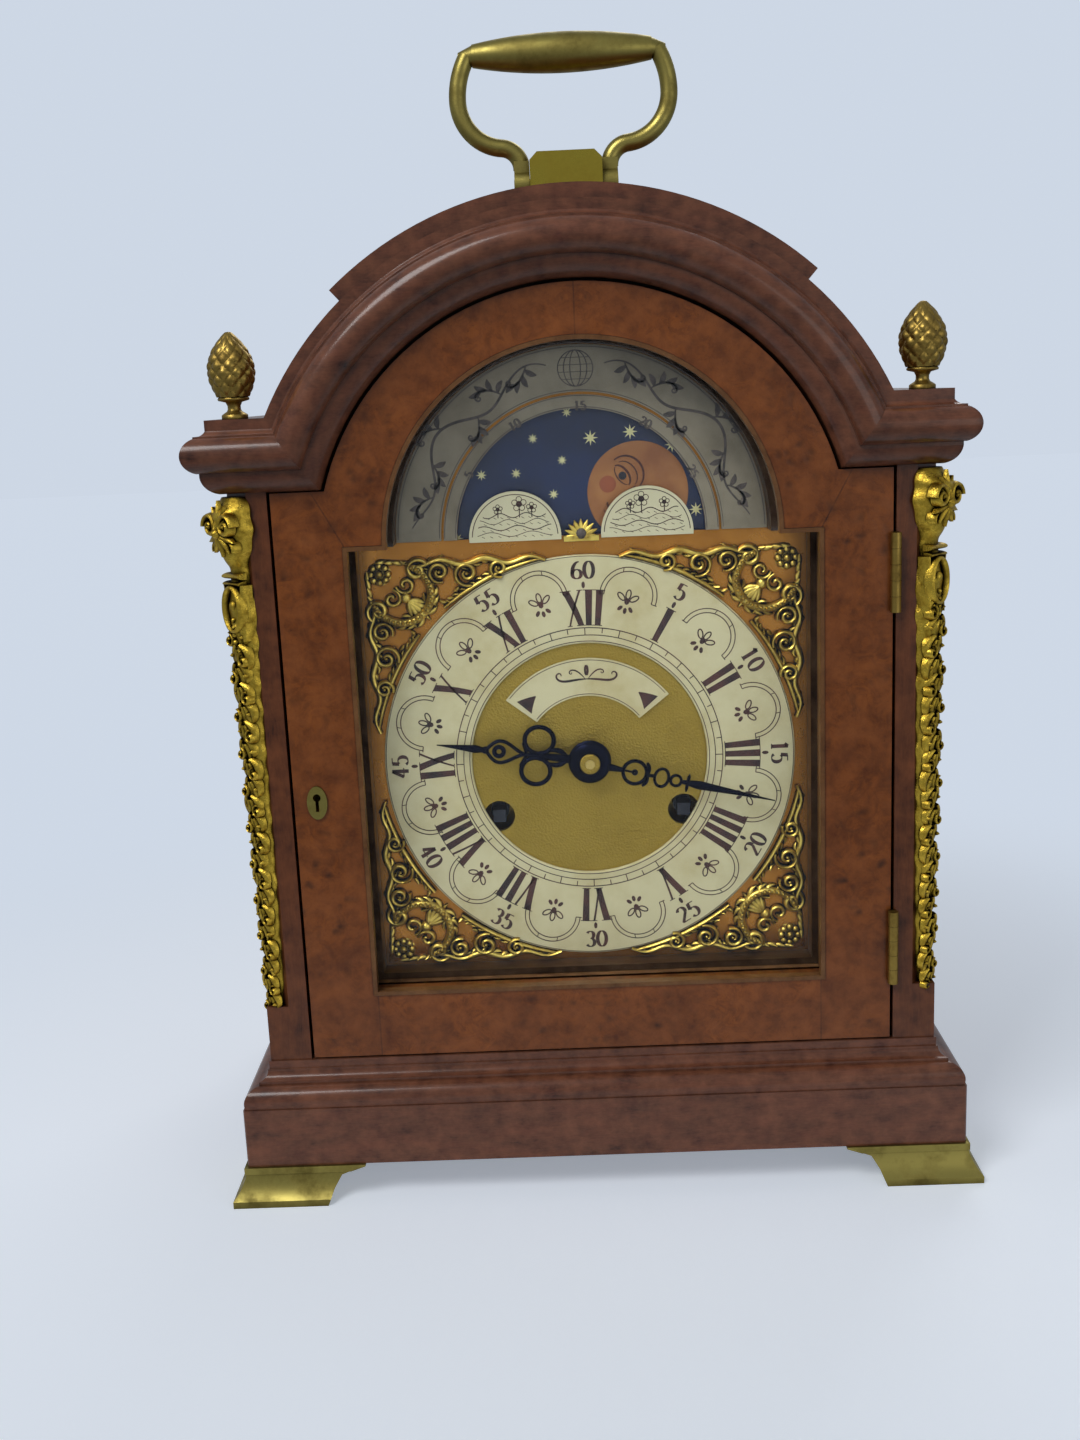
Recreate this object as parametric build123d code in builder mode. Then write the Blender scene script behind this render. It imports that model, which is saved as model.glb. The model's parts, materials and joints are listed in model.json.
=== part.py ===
from build123d import *
import os
from math import atan2, cos, degrees, hypot, radians, sin, sqrt

# Break-arch bracket clock with a moon dial, a spring movement of two trains and a striking bell.
# Frame: millimetres, +Z up, -Y towards the viewer, origin on the ground under the middle of the case.

os.makedirs("parts", exist_ok=True)

# Case sizes
body_width = 210.0
body_depth = 120.0
foot_height = 11.8
foot_flare = 4.6
foot_length = 37.5
plinth_top = 31.0
plinth_reach = 8.5
plinth_board = 34.0
body_bottom = 44.0
body_top = 222.7
wall = 13.0
floor_board = 7.0
cornice_height = 21.3
cornice_reach = 9.2
cornice_board = 10.0
arch_centre = 200.0
arch_radius = 79.2
roof_wall = 9.0
pad_thickness = 4.8
pad_half_angle = 41.5
pad_setback = 3.0
cant = 7.0
cant_stop = 62.0
board_gap = 0.15
cut_reach = 400.0
mount_low = 57.0
sound_half = 22.0
sound_low = 96.0
sound_spring = 150.0
fret_lap = 3.0
fret_thickness = 0.8
fret_rebate = 1.2

# Handle and finials
handle_block_half = 11.4
handle_block_depth = 12.0
handle_block_rise = 16.0
handle_pivot_rise = 6.6
handle_pivot_radius = 2.0
handle_lug_radius = 4.6
handle_lug_width = 4.8
handle_grip_rise = 39.1
handle_grip_half = 28.0
handle_grip_radius = 6.0
handle_arm_radius = 2.7
handle_bulge = 33.2
finial_offset = 99.5
finial_setback = 2.0
finial_height = 24.6
finial_radius = 7.0

# Front door
door_thickness = 14.0
door_clear = 0.5
swing_clear = 0.95
arch_clear = 1.0
window_half = 69.5
window_bottom = 66.0
window_spring = 204.4
window_radius = 57.8
bead_width = 1.4
bead_depth = 3.0
rebate = 4.0
glass_thickness = 2.0
glass_setback = 9.0
fit_gap = 0.1
hinge_length = 23.6
hinge_low = 75.0
hinge_high = 191.7
knuckle_radius = 1.6
knuckle_clear = 0.15
hinge_pin_radius = 0.75
leaf_thickness = 0.9
leaf_width = 9.0
lock_height = 128.3
lock_half_height = 10.0
lock_depth = 4.0
keyhole_offset = 83.9
bolt_half_height = 2.5
bolt_thickness = 2.0
bolt_throw = 3.5
escutcheon_half_width = 3.1
escutcheon_half_height = 5.2
escutcheon_thickness = 0.8

# Back door
back_board = 14.0
back_door_thickness = 10.0
back_half = 72.0
back_low = 56.0
back_shoulder = 204.0
back_radius = 60.0
back_clear = 1.3
back_rest = 0.7
back_glass_inset = 2.0
back_stile = 16.0
back_pin_inset = 2.5
back_pin_radius = 1.2
back_pin_reach = 5.0

# Dial
mask_front_gap = 0.4
mask_reveal = 0.5
dial_front = -38.5
dial_thickness = 1.5
dial_centre = 133.5
dial_half = 72.5
dial_low = 63.0
dial_arch_radius = 61.0
ring_outer = 65.0
ring_inner = 37.3
ring_thickness = 1.1
trim_thickness = 0.6
spandrel_thickness = 2.4
spandrel_reach = 68.4
moon_opening = 38.2
lunar_outer = 42.3
plate_inner = 43.1
plate_outer = 57.0
hump_radius = 14.2
hump_offset = 20.3
moon_disc_radius = 45.0
moon_disc_front = -35.6
moon_disc_thickness = 1.0
moon_stud_radius = 2.0
winding_offset = 29.5
winding_drop = 17.8
winding_hole = 5.0
winding_square = 4.0
cartouche_inner = 20.5
cartouche_outer = 32.5
cartouche_half_angle = 52.0
dial_foot_radius = 3.0
dial_foot_half = 52.0

# Movement
plate_thickness = 2.0
front_plate_back = -22.0
plate_gap = 36.0
plate_half = 58.0
plate_low = 78.0
plate_high = 186.0
pillar_radius = 4.0
pillar_inset = 7.0
running = 0.05
arbor_radius = 1.0
pivot_radius = 0.6
end_shake = 0.2
centre_arbor_radius = 1.5
cannon_radius = 2.5
hour_pipe_radius = 3.6
winding_arbor_radius = 2.9
barrel_radius = 21.0
wheel_thickness = 1.2
hand_thickness = 0.8
hour_hand_front = -43.0
minute_hand_front = -45.6
minute_hand_length = 59.5
hour_hand_length = 48.5
minute_hand_degrees = 104.0
hour_hand_degrees = 278.65
pendulum_length = 108.0
pendulum_y = 23.0
bob_radius = 14.0
bob_thickness = 7.0
crutch_length = 38.0
seat_thickness = 8.0
seat_front = -30.0
seat_back = 17.0
cleat_size = 8.0
bell_radius = 26.5
bell_rim = 200.0
bell_height = 19.6
bell_wall = 1.6
bell_clear = 0.8

# Wheel teeth
great_teeth = 84
second_pinion = 12
great_module = 0.6
second_teeth = 70
centre_pinion = 10
second_module = 0.5
centre_teeth = 90
third_pinion = 8
centre_module = 0.4
third_teeth = 96
escape_pinion = 8
third_module = 0.35
escape_teeth = 40
escape_radius = 9.0
cannon_teeth = 12
minute_teeth = 36
minute_pinion = 10
hour_teeth = 40
motion_module = 0.6

# Places worked out from the sizes
half_body = body_width / 2
body_front = -body_depth / 2
body_back = body_depth / 2
half_mouth = half_body - wall
inner_half = half_mouth - board_gap
cornice_top = body_top + cornice_height
roof_radius = arch_radius + cornice_height
roof_inner = roof_radius - roof_wall
pad_radius = roof_radius + pad_thickness
pad_top = arch_centre + pad_radius
roof_front = body_front + cornice_board
door_back = body_front + door_thickness
door_half = half_mouth - swing_clear
door_low = body_bottom + door_clear
door_high = body_top - door_clear
door_radius = arch_radius - arch_clear
glass_front = body_front + glass_setback
glass_back = glass_front + glass_thickness
floor_top = plinth_top + floor_board
mask_front = door_back + mask_front_gap
dial_back = dial_front + dial_thickness
moon_disc_back = moon_disc_front + moon_disc_thickness
front_plate_front = front_plate_back - plate_thickness
back_plate_front = front_plate_back + plate_gap
back_plate_back = back_plate_front + plate_thickness
hinge_x = half_mouth - swing_clear / 2
hinge_y = body_front - knuckle_radius - knuckle_clear
handle_pivot = pad_top + handle_pivot_rise
handle_grip_height = handle_pivot + handle_grip_rise
back_inner = body_back - back_board
back_step = body_back - back_door_thickness
minute_hand_back = minute_hand_front + hand_thickness
hour_hand_back = hour_hand_front + hand_thickness


def polar(radius, angle):
    return (radius * cos(radians(angle)), radius * sin(radians(angle)))


def meet(a, reach_a, b, reach_b, side):
    """The point at reach_a from a and reach_b from b, on the left (+1) or right (-1) of the way from a to b."""
    span = hypot(b[0] - a[0], b[1] - a[1])
    along = (span ** 2 + reach_a ** 2 - reach_b ** 2) / (2 * span)
    off = sqrt(reach_a ** 2 - along ** 2) * side
    ux, uz = (b[0] - a[0]) / span, (b[1] - a[1]) / span
    return (a[0] + ux * along - uz * off, a[1] + uz * along + ux * off)


def mesh_distance(teeth_a, teeth_b, module):
    return (teeth_a + teeth_b) * module / 2


# Arbor places, seen from the front as (x, z)
centre_at = (0.0, dial_centre)
going_at = (winding_offset, dial_centre - winding_drop)
strike_at = (-winding_offset, dial_centre - winding_drop)
great_reach = mesh_distance(great_teeth, second_pinion, great_module)
second_reach = mesh_distance(second_teeth, centre_pinion, second_module)
centre_reach = mesh_distance(centre_teeth, third_pinion, centre_module)
third_reach = mesh_distance(third_teeth, escape_pinion, third_module)
motion_reach = mesh_distance(cannon_teeth, minute_teeth, motion_module)
hour_module = 2 * motion_reach / (minute_pinion + hour_teeth)
escape_at = (0.0, dial_centre + 31.0)
anchor_at = (0.0, escape_at[1] + 11.6)
second_at = meet(going_at, great_reach, centre_at, second_reach, -1)
third_at = meet(centre_at, centre_reach, escape_at, third_reach, 1)
strike_second_at = meet(strike_at, great_reach, centre_at, 21.6, -1)
fly_at = (strike_second_at[0], strike_second_at[1] - second_reach)
minute_at = (0.0, dial_centre - motion_reach)
hammer_at = (-40.0, 168.0)


def upright(y):
    """A drawing plane that stands at depth y: its x is X, its y is Z, and its normal is -Y."""
    return Plane(origin=(0, y, 0), x_dir=(1, 0, 0), z_dir=(0, -1, 0))


def sideways(x):
    """A drawing plane at x: its x is Y, its y is Z, and its normal is +X."""
    return Plane(origin=(x, 0, 0), x_dir=(0, 1, 0), z_dir=(1, 0, 0))


def arched(half, low, shoulder, centre, radius, grow=0.0, mode=Mode.ADD):
    """A rectangle whose top breaks into an arch, grown outwards all round by grow."""
    top = shoulder + grow
    round_radius = radius + grow
    side = half + grow
    foot = sqrt(round_radius ** 2 - (top - centre) ** 2)
    with BuildLine() as line:
        Polyline((-foot, top), (-side, top), (-side, low - grow), (side, low - grow), (side, top), (foot, top))
        ThreePointArc((foot, top), (0, centre + round_radius), (-foot, top))
    make_face(line.edges(), mode=mode)


def window(grow=0.0, mode=Mode.ADD):
    arched(window_half, window_bottom, window_spring, window_spring, window_radius, grow, mode)


def box_between(x0, x1, y0, y1, z0, z1, mode=Mode.ADD):
    """A box given by its two corners."""
    with Locations(((x0 + x1) / 2, (y0 + y1) / 2, (z0 + z1) / 2)):
        Box(x1 - x0, y1 - y0, z1 - z0, mode=mode)


def rod(place, radius, front, back, mode=Mode.ADD):
    """A round rod along Y at (x, z), from depth front to depth back."""
    with BuildSketch(upright(back)) as face:
        with Locations(place):
            Circle(radius)
    extrude(face.sketch, amount=back - front, mode=mode)


def post(x, y, radius, low, high, mode=Mode.ADD):
    """A round post along Z at (x, y)."""
    with BuildSketch(Plane.XY.offset(low)) as face:
        with Locations((x, y)):
            Circle(radius)
    extrude(face.sketch, amount=high - low, mode=mode)


def prism(plane, points, amount, mode=Mode.ADD):
    """A straight prism on a plane, from a closed outline of straight lines and arcs."""
    with BuildSketch(plane) as face:
        with BuildLine():
            follow(points)
        make_face()
    extrude(face.sketch, amount=amount, mode=mode)


def follow(points):
    """A line through points; an item of two points is an arc through the first to the second."""
    here = points[0]
    for item in points[1:]:
        if isinstance(item[0], tuple):
            ThreePointArc(here, item[0], item[1])
            here = item[1]
        else:
            Line(here, item)
            here = item
    if hypot(here[0] - points[0][0], here[1] - points[0][1]) > 1e-6:
        Line(here, points[0])


def flipped(points):
    """The same outline mirrored left to right and walked the other way."""
    ends = [item[1] if isinstance(item[0], tuple) else item for item in points]
    back = [(-ends[-1][0], ends[-1][1])]
    for i in range(len(points) - 1, 0, -1):
        end = (-ends[i - 1][0], ends[i - 1][1])
        if isinstance(points[i][0], tuple):
            through = points[i][0]
            back.append(((-through[0], through[1]), end))
        else:
            back.append(end)
    return back


def mirrored_outline(points):
    """A closed outline: the points on the right, then the same on the left."""
    return points + flipped(points)


def shifted(points, by):
    """A section of (reach, height) points moved outwards by by."""
    out = []
    for item in points:
        if isinstance(item[0], tuple):
            out.append(tuple((r + by, h) for r, h in item))
        else:
            out.append((item[0] + by, item[1]))
    return out


def moulded_block(section):
    """A rectangular block with the section worked round all four sides, its corners mitred."""
    long = body_width + body_depth
    prism(upright(long / 2), mirrored_outline(shifted(section, half_body)), long)
    prism(sideways(-long / 2), mirrored_outline(shifted(section, body_back)), long, Mode.INTERSECT)


def write(made, name):
    made.part.label = name
    export_step(made.part, f"parts/{name}.step")


# Feet: brass, an ogee that flares to the floor, cut to a bracket on each face
foot_section = [(foot_flare + plinth_reach, 0.0), (foot_flare + plinth_reach, 2.2),
                ((plinth_reach + 2.2, 5.4), (plinth_reach + 0.6, foot_height - 2.4)),
                (plinth_reach + 1.0, foot_height - 2.2), (plinth_reach + 1.0, foot_height)]
foot_wall = 7.0


def foot_cut(corner):
    """What is cut away between the two brackets of one face, whose corners stand at -corner and +corner."""
    bracket = [(foot_length - 12.0, 0.0), (foot_length - 10.0, 4.8), (foot_length - 7.6, 8.6),
               (foot_length, foot_height - 0.6), (foot_length, foot_height)]
    bracket = [(foot_length - 12.6, -1.0)] + bracket + [(foot_length, foot_height + 1.0)]
    return mirrored_outline([(corner - u, v) for u, v in bracket])


with BuildPart() as feet:
    moulded_block(foot_section)
    hollow_x = half_body + plinth_reach - foot_wall
    hollow_y = body_back + plinth_reach - foot_wall
    box_between(-hollow_x, hollow_x, -hollow_y, hollow_y, -1, foot_height + 1, Mode.SUBTRACT)
    corner_x = half_body + plinth_reach
    corner_y = body_back + plinth_reach
    for side in (-1, 1):
        prism(upright(side * corner_y + 30), foot_cut(corner_x), 60, Mode.SUBTRACT)
        prism(sideways(side * corner_x - 30), foot_cut(corner_y), 60, Mode.SUBTRACT)
write(feet, "feet")

# Plinth: a plain frame of boards
with BuildPart() as plinth:
    reach = plinth_reach
    box_between(-half_body - reach, half_body + reach, body_front - reach, body_back + reach,
                foot_height, plinth_top)
    inner_x = half_body + reach - plinth_board
    inner_y = body_back + reach - plinth_board
    box_between(-inner_x, inner_x, -inner_y, inner_y, foot_height, plinth_top, Mode.SUBTRACT)
    chamfer(plinth.edges().filter_by(Axis.Z).group_by(lambda e: abs(e.center().X))[-1], 0.5)
write(plinth, "plinth")

# Base frame: fillet, ovolo, fillet, cove and fillet, under the door and the sides
base_section = [(8.0, plinth_top), (8.0, plinth_top + 1.1),
                ((6.9, plinth_top + 4.9), (4.6, plinth_top + 6.2)),
                (3.7, plinth_top + 6.3), (3.7, plinth_top + 7.3),
                ((1.7, plinth_top + 8.3), (1.1, plinth_top + 10.4)),
                (0.6, plinth_top + 10.5), (0.6, body_bottom)]
with BuildPart() as base_moulding:
    moulded_block(base_section)
    box_between(-half_mouth, half_mouth, door_back, back_inner,
                plinth_top - 1, body_bottom + 1, Mode.SUBTRACT)
write(base_moulding, "base_moulding")

with BuildPart() as case_floor:
    box_between(-inner_half, inner_half, door_back + board_gap, back_inner - board_gap,
                plinth_top, floor_top)
write(case_floor, "case_floor")

# Sides: boards with canted front corners, sound openings and the bolt mortise on the left


def sound_outline(grow):
    """A round-headed opening drawn with its x along Y."""
    half = sound_half + grow
    return [(-half, sound_spring), (-half, sound_low - grow), (half, sound_low - grow), (half, sound_spring),
            ((0, sound_spring + half), (-half, sound_spring))]


def side_board(side):
    """One side board; side is -1 on the left and +1 on the right."""
    box_between(min(side * half_mouth, side * half_body), max(side * half_mouth, side * half_body),
                body_front, body_back, body_bottom, body_top)
    corner = [(half_body + 1, body_front - 1), (half_body + 1, body_front + cant),
              (half_body, body_front + cant),
              (half_body - cant, body_front), (half_body - cant, body_front - 1)]
    prism(Plane.XY.offset(cant_stop), [(side * x, y) for x, y in corner], body_top - cant_stop, Mode.SUBTRACT)
    prism(sideways(-body_width), sound_outline(0.0), 2 * body_width, Mode.SUBTRACT)
    rebate_from = half_mouth if side > 0 else -half_mouth - fret_rebate
    prism(sideways(rebate_from), sound_outline(fret_lap), fret_rebate, Mode.SUBTRACT)


lock_front = door_back - lock_depth - 0.4
bolt_front = lock_front + 0.8
bolt_back = bolt_front + bolt_thickness

with BuildPart() as side_left:
    side_board(-1)
    box_between(-half_mouth - bolt_throw - 1, -half_mouth, bolt_front - 0.5, bolt_back + 0.5,
                lock_height - bolt_half_height - 0.5, lock_height + bolt_half_height + 0.5, Mode.SUBTRACT)
write(side_left, "side_left")

with BuildPart() as side_right:
    side_board(1)
    for height in (hinge_low, hinge_high):
        box_between(half_mouth, half_mouth + leaf_thickness - 0.3, body_front, body_front + leaf_width,
                    height - hinge_length / 2, height + hinge_length / 2, Mode.SUBTRACT)
write(side_right, "side_right")

# Sound frets: thin brass, pierced in rows of round scales
fret_pitch = 7.0
with BuildPart() as sound_frets:
    for side in (-1, 1):
        seat = side * (half_mouth + fret_rebate)
        plane = sideways(seat if side < 0 else seat - fret_thickness)
        prism(plane, sound_outline(fret_lap - board_gap), fret_thickness)
        with BuildSketch(plane):
            rows = int((sound_spring + sound_half - sound_low) / (fret_pitch * 0.75))
            for row in range(rows):
                height = sound_low + fret_pitch * (0.6 + 0.75 * row)
                shift = fret_pitch / 2 if row % 2 else 0.0
                for column in range(-3, 4):
                    y = column * fret_pitch + shift
                    rise = max(0.0, height - sound_spring)
                    if hypot(y, rise) < sound_half - 3.0:
                        with Locations((y, height)):
                            Circle(fret_pitch * 0.4)
                            with Locations((0, -fret_pitch * 0.32)):
                                Circle(fret_pitch * 0.3, mode=Mode.SUBTRACT)
        extrude(amount=fret_thickness, mode=Mode.SUBTRACT)
write(sound_frets, "sound_frets")

# Back frame with the rebate of the back door


def back_opening(grow, mode=Mode.ADD):
    arched(back_half, back_low, back_shoulder, back_shoulder - 1.0, back_radius, grow, mode)


pin_x = back_half - back_clear - back_pin_inset
pin_y = body_back - back_pin_inset
with BuildPart() as back_frame:
    with BuildSketch(upright(body_back)):
        arched(inner_half, body_bottom, body_top, arch_centre, roof_inner - board_gap)
        back_opening(-rebate, Mode.SUBTRACT)
    extrude(amount=back_board)
    with BuildSketch(upright(body_back)):
        back_opening(0.0)
    extrude(amount=back_door_thickness, mode=Mode.SUBTRACT)
    for start in (back_shoulder - 0.1, back_low - back_pin_reach):
        post(pin_x, pin_y, back_pin_radius + fit_gap / 2, start, start + back_pin_reach + 0.1, Mode.SUBTRACT)
write(back_frame, "back_frame")

# Roof: half a barrel of boards over the sides
with BuildPart() as roof_shell:
    with BuildSketch(upright(body_back)):
        with Locations((0, arch_centre)):
            Circle(roof_radius)
            Circle(roof_inner, mode=Mode.SUBTRACT)
        with Locations((0, body_top - roof_radius)):
            Rectangle(3 * roof_radius, 2 * roof_radius, mode=Mode.SUBTRACT)
    extrude(amount=body_back - roof_front)
write(roof_shell, "roof_shell")

# Cornice: cove, fillet, bullnose, cove and fillet, from the bottom or inner edge outwards
cornice_points = [(0.0, 0.4), ((1.9, 3.5), (5.2, 4.9)), (6.3, 4.9), (6.3, 5.6),
                  ((cornice_height / 2 + 0.65, cornice_reach), (16.3, 5.7)), (16.8, 5.7),
                  ((17.2, 3.6), (18.2, 2.7)), (cornice_height, 2.7)]


def cornice_outline(depth, turn=lambda t, reach: (t, reach)):
    """The cornice section, closed on a straight back at depth behind the face of the body."""
    points = [turn(0.0, -depth)]
    for item in cornice_points:
        points.append(tuple(turn(*p) for p in item) if isinstance(item[0], tuple) else turn(*item))
    points.append(turn(cornice_height, -depth))
    return points


mitre_low = (sqrt(arch_radius ** 2 - (body_top - arch_centre) ** 2), body_top)
mitre_high = (sqrt(roof_radius ** 2 - (cornice_top - arch_centre) ** 2), cornice_top)


def beyond_mitre(side):
    """The region outside the mitre between the level cornice and the arch."""
    slope = (mitre_high[0] - mitre_low[0]) / (mitre_high[1] - mitre_low[1])
    far = 60.0
    return [(side * (mitre_low[0] - slope * far), mitre_low[1] - far),
            (side * (mitre_high[0] + slope * far), mitre_high[1] + far),
            (side * cut_reach, mitre_high[1] + far), (side * cut_reach, mitre_low[1] - far)]


def corner_mitre(side):
    """The upright plane at 45 degrees through the front corner of the body."""
    return Plane(origin=(side * half_body, body_front, 0), x_dir=(0, 0, 1), z_dir=(side, 1, 0))


def level_cornice(side):
    """The level run over one side of the door, mitred to the arch and to the side cornice."""
    with BuildPart() as level:
        section = cornice_outline(cornice_board, lambda t, reach: (body_front - reach, body_top + t))
        prism(sideways(-cut_reach), section, 2 * cut_reach)
        prism(upright(cut_reach), beyond_mitre(side), 2 * cut_reach, Mode.INTERSECT)
        split(bisect_by=corner_mitre(side), keep=Keep.BOTTOM)
    return level.part


def side_cornice(side):
    """The run along one side of the case, behind its mitre and outside the roof."""
    board = half_body - mitre_high[0] + 6
    section = cornice_outline(board, lambda t, reach: (side * (half_body + reach), body_top + t))
    with BuildPart() as level:
        prism(upright(body_back), section, body_depth + 30)
        rod((0, arch_centre), roof_radius + board_gap, -body_depth, body_depth, Mode.SUBTRACT)
        split(bisect_by=corner_mitre(side), keep=Keep.TOP)
    return level.part


with BuildPart() as cornice_front:
    with BuildSketch(Plane.XY):
        with BuildLine():
            follow(cornice_outline(cornice_board, lambda t, reach: (arch_radius + t, body_front - reach)))
        make_face()
    revolve(axis=Axis.Y, revolution_arc=360)
    box_between(-cut_reach, cut_reach, -cut_reach, cut_reach, -cut_reach, body_top - arch_centre, Mode.SUBTRACT)
    for side in (-1, 1):
        outside = [(x, z - arch_centre) for x, z in beyond_mitre(side)]
        prism(upright(cut_reach), outside, 2 * cut_reach, Mode.SUBTRACT)
cornice_front.part.position = (0, 0, arch_centre)
with BuildPart() as cornice_joined:
    add(cornice_front.part)
    for side in (-1, 1):
        add(level_cornice(side))
write(cornice_joined, "cornice_front")

with BuildPart() as cornice_sides:
    for side in (-1, 1):
        add(side_cornice(side))
write(cornice_sides, "cornice_sides")

# Roof pad: a raised band over the crown of the arch
with BuildPart() as roof_pad:
    with BuildSketch(upright(body_back - pad_setback)):
        with BuildLine():
            inner = roof_radius + board_gap / 3
            CenterArc((0, arch_centre), pad_radius, 90 - pad_half_angle, 2 * pad_half_angle)
            CenterArc((0, arch_centre), inner, 90 - pad_half_angle, 2 * pad_half_angle)
            for angle in (90 - pad_half_angle, 90 + pad_half_angle):
                low = polar(inner, angle)
                high = polar(pad_radius, angle)
                Line((low[0], low[1] + arch_centre), (high[0], high[1] + arch_centre))
        make_face()
    extrude(amount=body_depth - 2 * pad_setback)
write(roof_pad, "roof_pad")

# Handle block: brass, seated on the pad, with a stub at each end for the handle
stub_end = handle_block_half + fit_gap * 3 + handle_lug_width
with BuildPart() as handle_block:
    box_between(-handle_block_half, handle_block_half, -handle_block_depth / 2, handle_block_depth / 2,
                pad_top - 3, pad_top + handle_block_rise)
    chamfer(handle_block.edges().filter_by(Axis.Y).group_by(Axis.Z)[-1], 2.4)
    with BuildSketch(sideways(-stub_end)):
        with Locations((0, handle_pivot)):
            Circle(handle_pivot_radius)
    extrude(amount=2 * stub_end)
    with BuildSketch(upright(body_back)):
        with Locations((0, arch_centre)):
            Circle(pad_radius + board_gap / 3)
    extrude(amount=body_depth, mode=Mode.SUBTRACT)
write(handle_block, "handle_block")

# Handle: two lugs, two arms that swell outwards and a grip that is thickest in the middle
lug_x = handle_block_half + fit_gap * 1.5 + handle_lug_width / 2


def handle_arm(side):
    """One arm: from its lug it sweeps outwards, then curls back to the end of the grip."""
    start = (side * lug_x, 0, handle_pivot + 4.6)
    elbow = (side * (lug_x + 6.0), 0, handle_pivot + 11.6)
    widest = (side * handle_bulge, 0, handle_pivot + handle_grip_rise * 2 / 3)
    corner = (side * (handle_grip_half + 1.6), 0, handle_grip_height)
    with BuildPart() as arm:
        with BuildLine() as path:
            first = ThreePointArc(start, (side * (lug_x + 1.2), 0, handle_pivot + 8.8), elbow)
            second = TangentArc(elbow, widest, tangent=first % 1)
            TangentArc(widest, corner, tangent=second % 1)
        with BuildSketch(Plane(origin=path.line @ 0, z_dir=path.line % 0)) as ring:
            Circle(handle_arm_radius)
        sweep(ring.sketch, path=path.line)
    return arm.part


with BuildPart() as handle:
    for side in (-1, 1):
        with BuildSketch(sideways(side * lug_x - handle_lug_width / 2)):
            with Locations((0, handle_pivot)):
                Circle(handle_lug_radius)
            with Locations((0, handle_pivot + 3.6)):
                Rectangle(2 * handle_arm_radius, 7.2)
        extrude(amount=handle_lug_width)
        add(handle_arm(side))
        grip_end = (side * (handle_grip_half - 1), 0, handle_grip_height)
        with BuildSketch(Plane(origin=grip_end, x_dir=(0, 1, 0), z_dir=(side, 0, 0))):
            Circle(3.6)
        extrude(amount=5.4, taper=24)
    with BuildSketch(Plane.XZ):
        with BuildLine():
            grip_shoulder = handle_grip_height + 3.4
            grip_crown = (0, handle_grip_height + handle_grip_radius)
            follow([(-handle_grip_half, handle_grip_height), (-handle_grip_half, grip_shoulder),
                    (grip_crown, (handle_grip_half, grip_shoulder)), (handle_grip_half, handle_grip_height)])
        make_face()
    revolve(axis=Axis((0, 0, handle_grip_height), (1, 0, 0)), revolution_arc=360)
    with BuildSketch(sideways(-stub_end - 10)):
        with Locations((0, handle_pivot)):
            Circle(handle_pivot_radius + running)
    extrude(amount=2 * stub_end + 20, mode=Mode.SUBTRACT)
    box_between(-lug_x + handle_lug_width / 2, lug_x - handle_lug_width / 2, -10, 10,
                handle_pivot - 6, handle_pivot + handle_lug_radius + 8, Mode.SUBTRACT)
write(handle, "handle")

# Finials: turned pine cones on a neck


def pine_cone():
    """One finial, turned about its own upright axis."""
    base = cornice_top
    with BuildPart() as cone:
        with BuildSketch(Plane.XZ):
            with BuildLine():
                follow([(0, base), (3.8, base), (3.8, base + 1.4), ((1.9, base + 2.4), (1.9, base + 3.6)),
                        ((3.0, base + 5.2), (4.6, base + 6.0)), (5.4, base + 6.6),
                        ((finial_radius, base + 11.0), (5.0, base + 18.0)),
                        ((2.9, base + 22.2), (0.6, base + finial_height)), (0, base + finial_height)])
            make_face()
        revolve(axis=Axis.Z, revolution_arc=360)
    return cone.part


with BuildPart() as finials:
    finial_y = body_front + finial_setback
    with Locations((-finial_offset, finial_y, 0), (finial_offset, finial_y, 0)):
        add(pine_cone())
write(finials, "finials")

# Corner mounts: gilt castings on the canted corners, a scrolled head over a long tapering drop
mount_front = [(-4.2, body_top - 1.0), (4.2, body_top - 1.0), (6.0, body_top - 7.0), (5.2, body_top - 15.0),
               (2.4, body_top - 22.0), (2.6, body_top - 28.0), (4.4, body_top - 36.0), (3.6, body_top - 52.0),
               (4.0, body_top - 84.0), (3.0, body_top - 118.0), (1.6, body_top - 146.0), (0.3, mount_low)]
mount_side = [(0.0, body_top - 1.0), (6.6, body_top - 1.6), (7.6, body_top - 7.0), (5.0, body_top - 15.0),
              (2.2, body_top - 22.0), (2.4, body_top - 27.0), (4.4, body_top - 36.0), (2.6, body_top - 50.0),
              (2.4, body_top - 84.0), (1.8, body_top - 118.0), (1.4, body_top - 146.0), (0.9, mount_low + 6.0),
              (0.0, mount_low + 5.0)]


def corner_mount(side):
    """One casting: its front outline and its side outline, crossed on the canted corner."""
    face_x = side * (half_body - cant / 2)
    face_y = body_front + cant / 2
    face = Plane(origin=(face_x, face_y, 0), x_dir=(1, side, 0), z_dir=(side, -1, 0))
    across = Plane(origin=(face_x, face_y, 0), x_dir=(side, -1, 0), z_dir=(-1, -side, 0))
    with BuildPart() as mount:
        prism(face, mount_front[1:] + [(-u, v) for u, v in reversed(mount_front[1:])], 12)
        prism(Plane(origin=across.origin - across.z_dir * 15, x_dir=across.x_dir, z_dir=across.z_dir),
              mount_side, 30, Mode.INTERSECT)
    return mount.part


with BuildPart() as corner_mounts:
    for side in (-1, 1):
        add(corner_mount(side))
write(corner_mounts, "corner_mounts")

# Dial mask: the dark board behind the door that frames the dial
with BuildPart() as dial_mask:
    with BuildSketch(upright(dial_front)):
        arched(inner_half, floor_top, body_top, arch_centre, roof_inner - board_gap)
        window(-mask_reveal, Mode.SUBTRACT)
    extrude(amount=dial_front - mask_front)
write(dial_mask, "dial_mask")

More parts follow.
